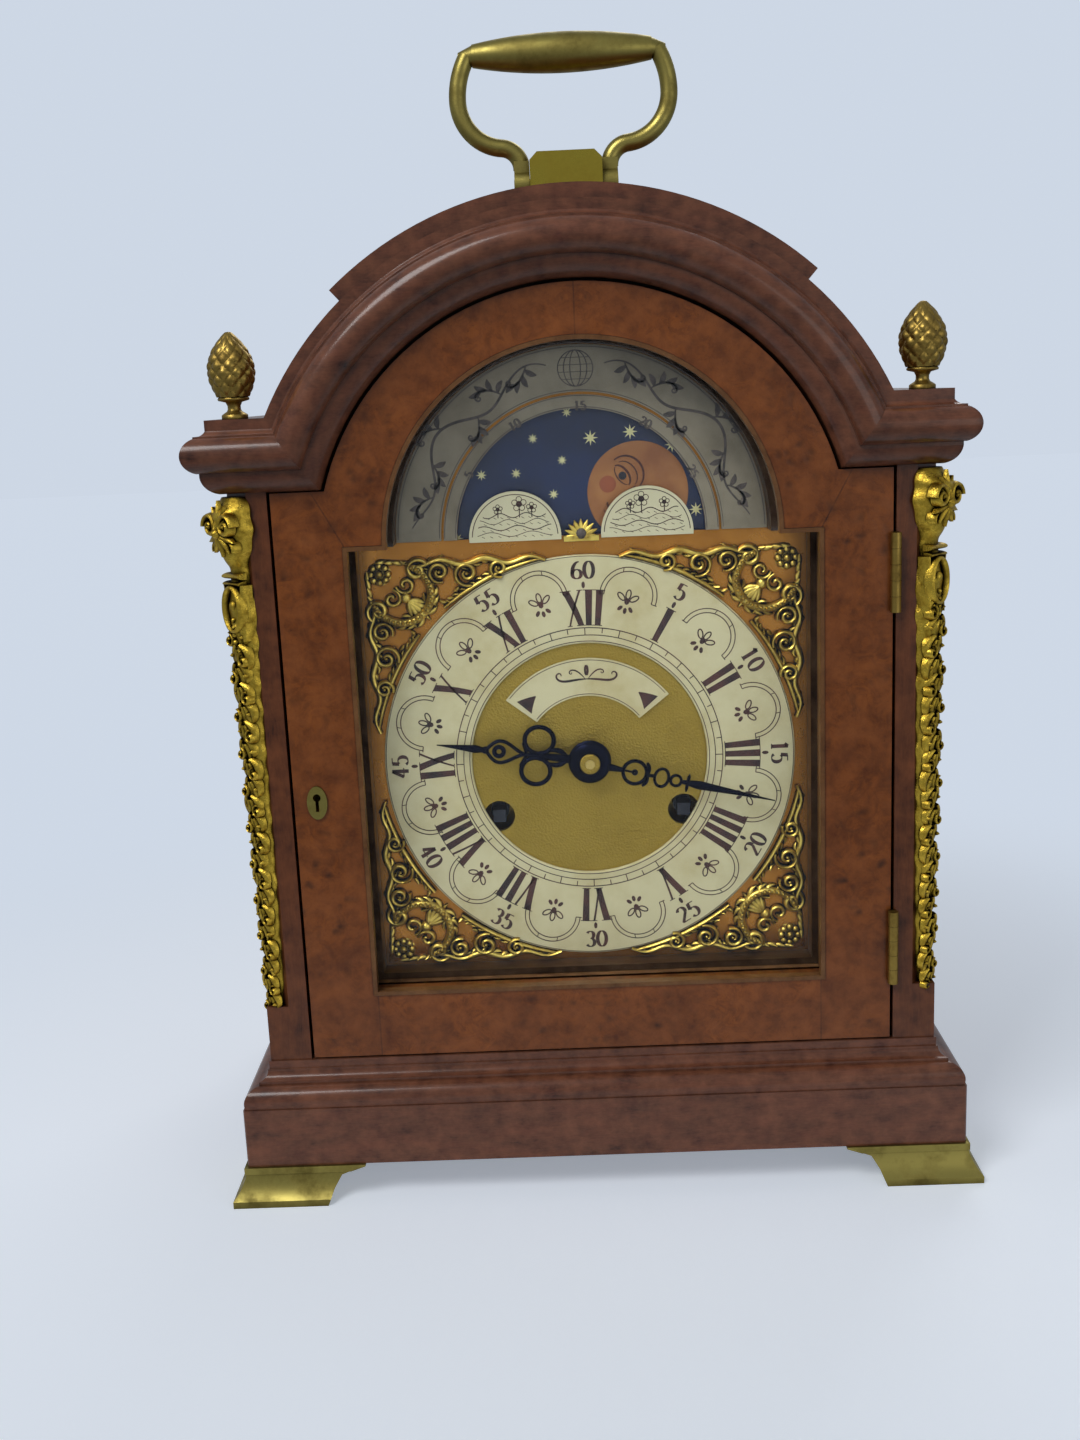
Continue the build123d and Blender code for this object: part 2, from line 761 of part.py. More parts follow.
# Front door
keyhole_at = (-keyhole_offset, lock_height)
with BuildPart() as front_door:
    with BuildSketch(upright(door_back)):
        arched(door_half, door_low, door_high, arch_centre, door_radius)
        window(bead_width, Mode.SUBTRACT)
    extrude(amount=door_thickness)
    with BuildSketch(upright(door_back)):
        window(rebate)
    extrude(amount=door_back - glass_front, mode=Mode.SUBTRACT)
    for height in (hinge_low, hinge_high):
        box_between(door_half - leaf_thickness + 0.3, door_half, body_front, body_front + leaf_width,
                    height - hinge_length / 2, height + hinge_length / 2, Mode.SUBTRACT)
    box_between(-door_half, -window_half - rebate - 2.5, lock_front, door_back,
                lock_height - lock_half_height, lock_height + lock_half_height, Mode.SUBTRACT)
    with BuildSketch(upright(lock_front)):
        with Locations((keyhole_at[0], keyhole_at[1] + 1.6)):
            Circle(1.5)
        with Locations((keyhole_at[0], keyhole_at[1] - 0.8)):
            Rectangle(1.4, 4.0)
    extrude(amount=door_thickness, mode=Mode.SUBTRACT)
write(front_door, "front_door")

# Beads: the pale one round the front of the window, and the inner one that holds the glass
with BuildPart() as glazing_beads:
    with BuildSketch(upright(body_front + bead_depth)):
        window(bead_width - fit_gap)
        window(0.0, Mode.SUBTRACT)
    extrude(amount=bead_depth + 0.4)
    with BuildSketch(upright(door_back - 0.3)):
        window(rebate - fit_gap)
        window(rebate - 2.6, Mode.SUBTRACT)
    extrude(amount=door_back - 0.3 - glass_back)
write(glazing_beads, "glazing_beads")

with BuildPart() as door_glass:
    with BuildSketch(upright(glass_back)):
        window(rebate - fit_gap)
    extrude(amount=glass_thickness)
write(door_glass, "door_glass")

with BuildPart() as escutcheon:
    with BuildSketch(upright(body_front)):
        with Locations(keyhole_at):
            Ellipse(escutcheon_half_width, escutcheon_half_height)
        with Locations((keyhole_at[0], keyhole_at[1] + 1.6)):
            Circle(1.2, mode=Mode.SUBTRACT)
        with Locations((keyhole_at[0], keyhole_at[1] - 0.8)):
            Rectangle(1.0, 4.0, mode=Mode.SUBTRACT)
    extrude(amount=escutcheon_thickness)
write(escutcheon, "escutcheon")

# Lock: a brass box in the back of the stile, and the bolt that slides out of its edge
lock_x0 = -door_half
lock_x1 = -window_half - rebate - 2.5
with BuildPart() as door_lock:
    box_between(lock_x0, lock_x1 - fit_gap, lock_front, door_back - 0.2,
                lock_height - lock_half_height + fit_gap, lock_height + lock_half_height - fit_gap)
    box_between(lock_x0 - 1, lock_x0 + 9.0, bolt_front - fit_gap, bolt_back + fit_gap,
                lock_height - bolt_half_height - fit_gap, lock_height + bolt_half_height + fit_gap, Mode.SUBTRACT)
write(door_lock, "door_lock")

with BuildPart() as lock_bolt:
    box_between(lock_x0 + 0.3, lock_x0 + 8.6, bolt_front, bolt_back,
                lock_height - bolt_half_height, lock_height + bolt_half_height)
write(lock_bolt, "lock_bolt")

# Butt hinges: five knuckles, three on the case leaf and two on the door leaf
knuckle = hinge_length / 5


def butt_leaf(height, on_case):
    """One leaf of a butt with its own knuckles."""
    if on_case:
        x0 = half_mouth - 0.3
        turns = (0, 2, 4)
    else:
        x0 = door_half - leaf_thickness + 0.3
        turns = (1, 3)
    x1 = x0 + leaf_thickness
    low = height - hinge_length / 2
    box_between(x0, x1, body_front, body_front + leaf_width, low, low + hinge_length)
    for turn in turns:
        z0 = low + turn * knuckle + fit_gap / 2
        z1 = low + (turn + 1) * knuckle - fit_gap / 2
        box_between(x0, x1, hinge_y, body_front, z0, z1)
        post(hinge_x, hinge_y, knuckle_radius, z0, z1)
    post(hinge_x, hinge_y, hinge_pin_radius + running, low - 1, low + hinge_length + 1, Mode.SUBTRACT)


with BuildPart() as case_hinges:
    for height in (hinge_low, hinge_high):
        butt_leaf(height, True)
    for height in (hinge_low, hinge_high):
        post(hinge_x, hinge_y, hinge_pin_radius, height - hinge_length / 2, height + hinge_length / 2)
    for middle in (back_shoulder - back_clear / 2, back_low + back_clear / 2):
        post(pin_x, pin_y, back_pin_radius, middle - back_pin_reach + 0.9, middle + back_pin_reach - 0.9)
write(case_hinges, "case_hinges")

with BuildPart() as door_hinges:
    for height in (hinge_low, hinge_high):
        butt_leaf(height, False)
write(door_hinges, "door_hinges")

# Back door
with BuildPart() as back_door:
    with BuildSketch(upright(body_back)):
        back_opening(-back_clear)
        back_opening(-back_clear - back_stile, Mode.SUBTRACT)
    extrude(amount=back_door_thickness - back_rest)
    with BuildSketch(upright(back_step + back_rest)):
        back_opening(-back_clear - back_stile + rebate)
    extrude(amount=-(glass_thickness + back_glass_inset), mode=Mode.SUBTRACT)
    for start in (back_shoulder - back_clear - back_pin_reach, back_low + back_clear - 0.1):
        post(pin_x, pin_y, back_pin_radius + running, start, start + back_pin_reach + 0.1, Mode.SUBTRACT)
write(back_door, "back_door")

with BuildPart() as back_glass:
    with BuildSketch(upright(back_step + back_rest + back_glass_inset + glass_thickness)):
        back_opening(-back_clear - back_stile + rebate - fit_gap)
    extrude(amount=glass_thickness)
write(back_glass, "back_glass")

# Dial plate: brass, pierced for the moon, the winding squares and the hands
def moon_window():
    """The half round opening over the moon, less the two humps."""
    with BuildSketch() as opening:
        with Locations((0, window_spring)):
            Circle(moon_opening)
        with Locations((0, window_spring - moon_opening)):
            Rectangle(3 * moon_opening, 2 * moon_opening, mode=Mode.SUBTRACT)
        with Locations((-hump_offset, window_spring), (hump_offset, window_spring)):
            Circle(hump_radius, mode=Mode.SUBTRACT)
    return opening.sketch


with BuildPart() as dial_plate:
    with BuildSketch(upright(dial_back)):
        arched(dial_half, dial_low, window_spring, window_spring - 1.0, dial_arch_radius)
        add(moon_window(), mode=Mode.SUBTRACT)
        with Locations(going_at, strike_at):
            Circle(winding_hole, mode=Mode.SUBTRACT)
        with Locations(centre_at):
            Circle(hour_pipe_radius + 0.4, mode=Mode.SUBTRACT)
    extrude(amount=dial_thickness)
write(dial_plate, "dial_plate")

with BuildPart() as chapter_ring:
    with BuildSketch(upright(dial_front)):
        with Locations(centre_at):
            Circle(ring_outer)
            Circle(ring_inner, mode=Mode.SUBTRACT)
    extrude(amount=ring_thickness)
    fillet(chapter_ring.edges().filter_by(GeomType.CIRCLE).group_by(Axis.Y)[0], 0.4)
write(chapter_ring, "chapter_ring")

# Spandrels: cast corner pieces, a leafy outline between the ring and the corner of the window
with BuildPart() as spandrels:
    for turn in range(4):
        sx = 1 if turn in (0, 3) else -1
        sz = 1 if turn in (0, 1) else -1
        near = ring_outer + 1.0
        with BuildSketch(upright(dial_front)):
            with BuildLine():
                corner_piece = [(10.0, spandrel_reach - 2.0), (24.0, spandrel_reach - 0.6),
                                (40.0, spandrel_reach - 2.6), (52.0, spandrel_reach - 0.4),
                                (spandrel_reach, spandrel_reach), (spandrel_reach - 0.4, 52.0),
                                (spandrel_reach - 2.6, 40.0), (spandrel_reach - 0.6, 24.0),
                                (spandrel_reach - 1.2, 11.0)]
                placed = [(sx * u, dial_centre + sz * v * 0.975) for u, v in corner_piece]
                Polyline(placed)
                Line(placed[-1], placed[0])
            make_face()
            with Locations(centre_at):
                Circle(near, mode=Mode.SUBTRACT)
        extrude(amount=spandrel_thickness)
write(spandrels, "spandrels")

with BuildPart() as cartouche:
    with BuildSketch(upright(dial_front)):
        with Locations(centre_at):
            Circle(cartouche_outer)
            Circle(cartouche_inner, mode=Mode.SUBTRACT)
        with BuildLine():
            reach = 2 * cartouche_outer
            Polyline(centre_at, *[(reach * sin(radians(a)), dial_centre + reach * cos(radians(a)))
                                  for a in (-cartouche_half_angle, 0, cartouche_half_angle)], close=True)
        make_face(mode=Mode.INTERSECT)
    extrude(amount=trim_thickness)
write(cartouche, "cartouche")

# Arch plate: silvered crescent, lunar ring and the two humps that hide the moon
with BuildPart() as arch_plate:
    with BuildSketch(upright(dial_front)):
        with Locations((0, window_spring)):
            Circle(plate_outer)
            Circle(plate_inner, mode=Mode.SUBTRACT)
            Circle(lunar_outer)
            Circle(moon_opening, mode=Mode.SUBTRACT)
        with Locations((0, window_spring - plate_outer)):
            Rectangle(3 * plate_outer, 2 * plate_outer, mode=Mode.SUBTRACT)
        with Locations((-hump_offset, window_spring), (hump_offset, window_spring)):
            Circle(hump_radius)
        with Locations((0, window_spring - hump_radius - 1)):
            Rectangle(3 * plate_outer, 2 * hump_radius, mode=Mode.SUBTRACT)
    extrude(amount=trim_thickness)
write(arch_plate, "arch_plate")

with BuildPart() as moon_disc:
    rod((0, window_spring), moon_disc_radius, moon_disc_front, moon_disc_back)
    rod((0, window_spring), moon_stud_radius + running, moon_disc_front - 1, moon_disc_back + 1, Mode.SUBTRACT)
write(moon_disc, "moon_disc")

# The moon turns on a shoulder stud carried by a bridge from the back of the dial plate
with BuildPart() as moon_stud:
    bridge_y = moon_disc_back + 0.6
    box_between(-4, 4, bridge_y, bridge_y + 1.5, window_spring - 4, window_spring + 4)
    box_between(-moon_disc_radius - 8, moon_disc_radius + 8, bridge_y, bridge_y + 1.5,
                window_spring - 3, window_spring + 3)
    for side in (-1, 1):
        x = side * (moon_disc_radius + 5)
        box_between(x - 3, x + 3, dial_back, bridge_y + 1.5, window_spring - 3, window_spring + 3)
    rod((0, window_spring), moon_stud_radius, moon_disc_front - 0.2, bridge_y)
write(moon_stud, "moon_stud")

with BuildPart() as dial_feet:
    for side in (-1, 1):
        for height in (84.0, 152.0):
            rod((side * dial_foot_half, height), dial_foot_radius, dial_back, front_plate_front)
write(dial_feet, "dial_feet")


# Wheels
def tooth_outline(teeth, module, first, addendum=0.9, dedendum=1.15):
    """Slim teeth with plenty of backlash; the first tooth points at the angle first, in degrees."""
    pitch = 360 / teeth
    radius = teeth * module / 2
    points = []
    for tooth in range(teeth):
        middle = first + tooth * pitch
        for share, out in ((-0.24, -dedendum), (-0.09, addendum), (0.09, addendum), (0.24, -dedendum)):
            points.append(polar(radius + out * module, middle + share * pitch))
    return points


def crossings(rim, hub, spokes, spoke_width):
    """The openings between the spokes of a wheel."""
    with BuildSketch() as openings:
        Circle(rim)
        Circle(hub, mode=Mode.SUBTRACT)
        for spoke in range(spokes):
            Rectangle(2 * rim + 2, spoke_width, rotation=180 / spokes * spoke, mode=Mode.SUBTRACT)
    return openings.sketch


def toothed(place, teeth, module, first, front, thickness):
    """A toothed disc, solid in the middle."""
    with BuildSketch(upright(front + thickness)) as face:
        with Locations(place):
            Polygon(*tooth_outline(teeth, module, first), align=None)
    extrude(face.sketch, amount=thickness)


def crossed(place, teeth, module, first, front, thickness, hub, spokes=4):
    """A toothed wheel with its web crossed out into spokes."""
    rim = teeth * module / 2 - 3.2 * module - 0.6
    with BuildSketch(upright(front + thickness)) as face:
        with Locations(place):
            Polygon(*tooth_outline(teeth, module, first), align=None)
            add(crossings(rim, hub, spokes, 1.8), mode=Mode.SUBTRACT)
    extrude(face.sketch, amount=thickness)


def heading(a, b):
    """The angle of the way from a to b, in degrees."""
    return degrees(atan2(b[1] - a[1], b[0] - a[0]))


def partner_first(place, teeth, first, other_place, other_teeth):
    """The first tooth angle of a wheel whose gap meets the tooth of its driver at rest."""
    way = heading(place, other_place)
    step = ((way - first) * teeth / 360) % 1.0
    return way + 180 - (0.5 - step) * 360 / other_teeth


great_y = -4.0
great_thickness = 2.0
second_y = 0.0
strike_second_y = 3.0
centre_y = 6.0
third_y = 9.0
escape_y = 12.0
pinion_lap = 0.8
pinion_length = wheel_thickness + 2 * pinion_lap
great_pinion_length = great_thickness + 2 * pinion_lap
minute_wheel_y = -28.0
hour_wheel_y = -32.0
motion_thickness = 1.5

second_first = partner_first(going_at, great_teeth, 0.0, second_at, second_pinion)
centre_first = partner_first(second_at, second_teeth, 0.0, centre_at, centre_pinion)
third_first = partner_first(centre_at, centre_teeth, 0.0, third_at, third_pinion)
escape_first = partner_first(third_at, third_teeth, 0.0, escape_at, escape_pinion)
strike_first = partner_first(strike_at, great_teeth, 0.0, strike_second_at, second_pinion)
fly_first = partner_first(strike_second_at, second_teeth, 0.0, fly_at, centre_pinion)
minute_first = partner_first(centre_at, cannon_teeth, 0.0, minute_at, minute_teeth)
hour_first = partner_first(minute_at, minute_pinion, 0.0, centre_at, hour_teeth)


def arbor(place, radius=arbor_radius):
    """An arbor between the plates with a pivot in each of them."""
    rod(place, radius, front_plate_back + end_shake, back_plate_front - end_shake)
    rod(place, pivot_radius, front_plate_front, back_plate_back)


with BuildPart() as second_wheel:
    crossed(second_at, second_teeth, second_module, 0.0, second_y, wheel_thickness, 4.0)
    toothed(second_at, second_pinion, great_module, second_first, great_y - pinion_lap, great_pinion_length)
    arbor(second_at)
write(second_wheel, "second_wheel")

with BuildPart() as centre_wheel:
    crossed(centre_at, centre_teeth, centre_module, 0.0, centre_y, wheel_thickness, 4.0)
    toothed(centre_at, centre_pinion, second_module, centre_first, second_y - pinion_lap, pinion_length)
    rod(centre_at, centre_arbor_radius, minute_hand_front - 1.2, back_plate_front - end_shake)
    rod(centre_at, pivot_radius, back_plate_front - 1, back_plate_back)
write(centre_wheel, "centre_wheel")

with BuildPart() as third_wheel:
    crossed(third_at, third_teeth, third_module, 0.0, third_y, wheel_thickness, 3.4)
    toothed(third_at, third_pinion, centre_module, third_first, centre_y - pinion_lap, pinion_length)
    arbor(third_at)
write(third_wheel, "third_wheel")

def escape_outline():
    """Pointed teeth that lean the same way."""
    points = []
    for tooth in range(escape_teeth):
        angle = tooth * 360 / escape_teeth
        for turn, drop in ((-3.4, 1.2), (0.4, 0.0), (1.2, 0.0), (2.4, 1.2)):
            points.append(polar(escape_radius - drop, angle + turn))
    return points


with BuildPart() as escape_wheel:
    with BuildSketch(upright(escape_y + 1.0)):
        with Locations(escape_at):
            Polygon(*escape_outline(), align=None)
            add(crossings(escape_radius - 2.4, 2.6, 2, 1.2), mode=Mode.SUBTRACT)
    extrude(amount=1.0)
    toothed(escape_at, escape_pinion, third_module, escape_first, third_y - pinion_lap, wheel_thickness + 1.2)
    rod(escape_at, 0.8, front_plate_back + end_shake, back_plate_front - end_shake)
    rod(escape_at, pivot_radius, front_plate_front, back_plate_back)
write(escape_wheel, "escape_wheel")

# Anchor: arms that reach round the escape wheel, its arbor and the crutch behind the back plate
anchor_clear = 0.8
pallet_radius = escape_radius + anchor_clear
with BuildPart() as anchor:
    with BuildSketch(upright(escape_y + 1.4)):
        with BuildLine():
            tip = polar(pallet_radius, 38)
            outer = polar(pallet_radius + 2.2, 36)
            right = [(0.0, anchor_at[1] + 2.4), (5.0, anchor_at[1] + 1.2),
                     (outer[0], escape_at[1] + outer[1] + 1.8), (outer[0], escape_at[1] + outer[1]),
                     (tip[0], escape_at[1] + tip[1]), (tip[0] - 2.2, escape_at[1] + tip[1] + 2.6),
                     (0.0, anchor_at[1] - 1.1)]
            Polyline(right + [(-u, v) for u, v in reversed(right[1:-1])], close=True)
        make_face()
        with Locations(escape_at):
            Circle(pallet_radius, mode=Mode.SUBTRACT)
    extrude(amount=1.8)
    rod(anchor_at, 1.4, front_plate_back + end_shake, back_plate_front - end_shake)
    rod(anchor_at, 1.0, back_plate_front - 1, pendulum_y - 3.8)
    rod(anchor_at, pivot_radius, front_plate_front, front_plate_back + 1)
    crutch_y0 = back_plate_back + 0.6
    crutch_y1 = pendulum_y - 3.8
    box_between(-1.4, 1.4, crutch_y0, crutch_y1, anchor_at[1] - crutch_length, anchor_at[1])
    rod((0, anchor_at[1] - crutch_length + 1.4), 0.8, crutch_y1 - 1, pendulum_y + 2.4)
write(anchor, "anchor")

# Pendulum: a thin spring at the top, a flat rod with the crutch slot, a lens bob and a rating nut
bob_at = anchor_at[1] - pendulum_length
def lens_bob():
    """The bob: a lens turned about the Y axis, two shallow caps of a ball with an edge between them."""
    edge = 0.6
    rise = bob_thickness / 2 - edge
    ball = (bob_radius ** 2 + rise ** 2) / (2 * rise)
    half_way = bob_radius / 2
    bulge = bob_thickness / 2 - ball + sqrt(ball ** 2 - half_way ** 2)
    with BuildPart() as bob:
        with BuildSketch(Plane.XY):
            with BuildLine():
                follow([(0, -bob_thickness / 2), ((half_way, -bulge), (bob_radius, -edge)),
                        (bob_radius, edge), ((half_way, bulge), (0, bob_thickness / 2))])
            make_face()
        revolve(axis=Axis.Y, revolution_arc=360)
    return bob.part


with BuildPart() as pendulum:
    box_between(-0.25, 0.25, pendulum_y - 2.0, pendulum_y + 2.0, anchor_at[1] - 12, anchor_at[1] - 0.2)
    box_between(-2.2, 2.2, pendulum_y - 0.9, pendulum_y + 0.9, bob_at, anchor_at[1] - 10)
    box_between(-1.0, 1.0, pendulum_y - 2, pendulum_y + 2, anchor_at[1] - crutch_length,
                anchor_at[1] - crutch_length + 2.8, Mode.SUBTRACT)
    with Locations((0, pendulum_y, bob_at)):
        add(lens_bob())
    rod_low = bob_at - bob_radius - 4.6
    with BuildSketch(Plane.XY.offset(rod_low)):
        with Locations((0, pendulum_y)):
            Circle(1.0)
    extrude(amount=bob_radius)
    with BuildSketch(Plane.XY.offset(rod_low + 1)):
        with Locations((0, pendulum_y)):
            RegularPolygon(3.2, 6)
    extrude(amount=2.2)
write(pendulum, "pendulum")


# Barrels turn on their winding arbors
def barrel(place):
    rod(place, barrel_radius, great_y - 16.0, great_y)
    toothed(place, great_teeth, great_module, 0.0, great_y, great_thickness)
    rod(place, winding_arbor_radius + running, great_y - 17, great_y + great_thickness + 1, Mode.SUBTRACT)


def winding_arbor(place):
    """An arbor with shoulders, pivots in both plates and a square that stands in the dial's winding hole."""
    rod(place, winding_arbor_radius, front_plate_front - 8, back_plate_back)
    with BuildSketch(upright(front_plate_front - 7)) as face:
        with Locations(place):
            Rectangle(winding_square, winding_square)
    extrude(face.sketch, amount=front_plate_front - 7 - dial_front)


with BuildPart() as going_barrel:
    barrel(going_at)
write(going_barrel, "going_barrel")
with BuildPart() as strike_barrel:
    barrel(strike_at)
write(strike_barrel, "strike_barrel")
with BuildPart() as going_arbor:
    winding_arbor(going_at)
write(going_arbor, "going_arbor")
with BuildPart() as strike_arbor:
    winding_arbor(strike_at)
write(strike_arbor, "strike_arbor")

with BuildPart() as strike_wheel:
    crossed(strike_second_at, second_teeth, second_module, 0.0, strike_second_y, wheel_thickness, 4.0)
    toothed(strike_second_at, second_pinion, great_module, strike_first, great_y - pinion_lap,
            great_thickness + 2 * pinion_lap)
    arbor(strike_second_at)
write(strike_wheel, "strike_wheel")

with BuildPart() as fly:
    toothed(fly_at, centre_pinion, second_module, fly_first, strike_second_y - pinion_lap,
            wheel_thickness + 2 * pinion_lap)
    arbor(fly_at)
    box_between(fly_at[0] - 9.5, fly_at[0] + 9.5, great_y - 15, great_y - 2, fly_at[1] - 0.4, fly_at[1] + 0.4)
write(fly, "fly")

# Motion work in front of the front plate
with BuildPart() as cannon_wheel:
    toothed(centre_at, cannon_teeth, motion_module, 0.0, minute_wheel_y, 2.0)
    rod(centre_at, cannon_radius, minute_hand_back, minute_wheel_y + 2.0)
    rod(centre_at, centre_arbor_radius + 0.4, minute_hand_front, minute_hand_back)
    rod(centre_at, centre_arbor_radius + running, minute_hand_front - 1, minute_wheel_y + 3, Mode.SUBTRACT)
write(cannon_wheel, "cannon_wheel")

minute_stud_radius = 1.5
with BuildPart() as minute_wheel:
    crossed(minute_at, minute_teeth, motion_module, minute_first, minute_wheel_y, 2.0, 4.4)
    toothed(minute_at, minute_pinion, hour_module, 0.0, hour_wheel_y - 0.4, minute_wheel_y - hour_wheel_y + 0.4)
    rod(minute_at, minute_stud_radius + running, hour_wheel_y - 1, minute_wheel_y + 3, Mode.SUBTRACT)
write(minute_wheel, "minute_wheel")

with BuildPart() as hour_wheel:
    crossed(centre_at, hour_teeth, hour_module, hour_first, hour_wheel_y, motion_thickness, 5.0)
    rod(centre_at, hour_pipe_radius, hour_hand_back, hour_wheel_y + motion_thickness)
    rod(centre_at, cannon_radius + 0.6, hour_hand_front, hour_hand_back)
    rod(centre_at, cannon_radius + running, hour_hand_front - 1, hour_wheel_y + 3, Mode.SUBTRACT)
write(hour_wheel, "hour_wheel")


# Hands: drawn pointing up, then turned
def loop(place, outer, inner):
    with Locations(place):
        Circle(outer)
        Circle(inner, mode=Mode.SUBTRACT)


def bar(x, low, high, width):
    with Locations((x, (low + high) / 2)):
        Rectangle(width, high - low)


with BuildPart() as hour_drawn:
    with BuildSketch(upright(0)):
        for side in (-1, 1):
            loop((side * 5.4, 17.6), 4.9, 3.3)
        loop((0, 31.0), 4.6, 2.9)
        bar(0, 6.0, 28.0, 2.4)
        bar(0, 34.0, 40.0, 3.0)
        Polygon((-2.2, 37.0), (2.2, 37.0), (0.3, hour_hand_length), (-0.3, hour_hand_length), align=None)
        for side in (-1, 1):
            Polygon((side * 3.4, 20.8), (side * 5.8, 25.6), (side * 1.0, 28.4), (0, 26.8), align=None)
        Circle(6.6)
        Circle(cannon_radius + 0.65, mode=Mode.SUBTRACT)
    extrude(amount=hand_thickness)
with BuildPart() as hour_hand:
    with Locations(Location((0, hour_hand_back, dial_centre), (0, hour_hand_degrees, 0))):
        add(hour_drawn.part)
write(hour_hand, "hour_hand")

with BuildPart() as minute_drawn:
    with BuildSketch(upright(0)):
        loop((0, 15.4), 4.4, 2.9)
        loop((0, 26.6), 3.4, 2.2)
        loop((0, 33.4), 2.0, 1.0)
        bar(0, 4.0, 12.0, 2.6)
        bar(0, 19.0, 24.0, 2.0)
        bar(0, 29.4, 32.0, 1.8)
        Polygon((-1.6, 35.0), (1.6, 35.0), (0.25, minute_hand_length), (-0.25, minute_hand_length), align=None)
        bar(0, 37.2, 38.8, 6.0)
        Circle(4.8)
        Circle(centre_arbor_radius + 0.45, mode=Mode.SUBTRACT)
    extrude(amount=hand_thickness)
with BuildPart() as minute_hand:
    with Locations(Location((0, minute_hand_back, dial_centre), (0, minute_hand_degrees, 0))):
        add(minute_drawn.part)
write(minute_hand, "minute_hand")

with BuildPart() as hand_collet:
    rod(centre_at, 3.2, minute_hand_front - 0.9, minute_hand_front)
    fillet(hand_collet.edges().group_by(Axis.Y)[0], 0.4)
    rod(centre_at, centre_arbor_radius + running, minute_hand_front - 2, minute_hand_front + 1, Mode.SUBTRACT)
write(hand_collet, "hand_collet")


# Plates
def plate_blank(y_back):
    box_between(-plate_half, plate_half, y_back - plate_thickness, y_back, plate_low, plate_high)


def plate_hole(place, radius, y_back):
    rod(place, radius, y_back - plate_thickness - 1, y_back + 1, Mode.SUBTRACT)


train_places = (second_at, third_at, escape_at, strike_second_at, fly_at)
with BuildPart() as front_plate:
    plate_blank(front_plate_back)
    rod(minute_at, minute_stud_radius, hour_wheel_y - 0.6, front_plate_front)
    rod(minute_at, minute_stud_radius + 1.4, minute_wheel_y + 2.1, front_plate_front)
    for place in train_places + (anchor_at, hammer_at):
        plate_hole(place, pivot_radius + running, front_plate_back)
    for place in (going_at, strike_at):
        plate_hole(place, winding_arbor_radius + running, front_plate_back)
    plate_hole(centre_at, centre_arbor_radius + running, front_plate_back)
write(front_plate, "front_plate")

cock_back = pendulum_y + 3.4
with BuildPart() as back_plate:
    plate_blank(back_plate_back)
    box_between(-5, 5, back_plate_back - 1, cock_back, anchor_at[1] + 1.7, plate_high)
    box_between(-5, 5, pendulum_y - 2.8, cock_back, anchor_at[1] + 0.1, plate_high)
    for place in train_places + (centre_at, hammer_at):
        plate_hole(place, pivot_radius + running, back_plate_back)
    for place in (going_at, strike_at):
        plate_hole(place, winding_arbor_radius + running, back_plate_back)
    plate_hole(anchor_at, 1.0 + running, back_plate_back)
write(back_plate, "back_plate")

pillar_places = [(sx * (plate_half - pillar_inset), z) for sx in (-1, 1)
                 for z in (plate_low + pillar_inset, plate_high - pillar_inset)]
with BuildPart() as pillars:
    for place in pillar_places:
        rod(place, pillar_radius, front_plate_back, back_plate_front)
        rod(place, pillar_radius + 1.2, front_plate_back, front_plate_back + 2.4)
        rod(place, pillar_radius + 1.2, back_plate_front - 2.4, back_plate_front)
write(pillars, "pillars")

with BuildPart() as seat_board:
    box_between(-inner_half, inner_half, seat_front, seat_back, plate_low - seat_thickness, plate_low)
    for side in (-1, 1):
        x0 = side * (inner_half - cleat_size)
        x1 = side * inner_half
        box_between(min(x0, x1), max(x0, x1), seat_front, seat_back,
                    plate_low - seat_thickness - cleat_size, plate_low - seat_thickness)
write(seat_board, "seat_board")

# Hammer and bell
hammer_end = bell_rim + 3.4
with BuildPart() as hammer:
    arbor(hammer_at)
    box_between(hammer_at[0] - 1.2, hammer_at[0] + 1.2, -1.2, 1.2, hammer_at[1], hammer_end)
    with BuildSketch(sideways(hammer_at[0] - 3)):
        with Locations((0, hammer_end)):
            Circle(3.0)
    extrude(amount=-bell_radius - bell_clear - hammer_at[0] + 3)
write(hammer, "hammer")

bell_top = bell_rim + bell_height
with BuildPart() as bell:
    with BuildSketch(Plane.XZ):
        with BuildLine():
            inner_crown = bell_top - bell_wall
            follow([(moon_stud_radius + running, inner_crown), (8, inner_crown),
                    ((19.3, bell_rim + 12.4), (bell_radius - bell_wall, bell_rim)), (bell_radius, bell_rim),
                    ((20.6, bell_rim + 13.4), (8, bell_top)), (moon_stud_radius + running, bell_top)])
        make_face()
    revolve(axis=Axis.Z, revolution_arc=360)
write(bell, "bell")

stand_x = 27.0
with BuildPart() as bell_stand:
    box_between(stand_x - 3, stand_x + 3, back_plate_back, back_plate_back + 3, 158.0, bell_top + 9)
    box_between(stand_x - 3, stand_x + 3, -4, back_plate_back + 3, bell_top + 6, bell_top + 9)
    box_between(-4, stand_x + 3, -4, 4, bell_top + 6, bell_top + 9)
    with BuildSketch(Plane.XY.offset(bell_top - bell_wall - 3)):
        Circle(4.6)
    extrude(amount=3)
    with BuildSketch(Plane.XY.offset(bell_top - bell_wall - 4)):
        Circle(moon_stud_radius)
    extrude(amount=bell_wall + 12)
write(bell_stand, "bell_stand")
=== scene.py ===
# %% [markdown]
# A bracket clock is a small spring-driven clock in a veneered case with a brass handle on top.
# The frame brings in every solid of the clock at its real size and place.
# This lesson gives each of them its finish, and adds the castings, engraving, hands and painted
# moon that are too fine for the solids. Lengths below are in millimetres, as on the drawing.

# %% Load the clock
import json
import bmesh
import bpy
import numpy as np
from mathutils import Matrix


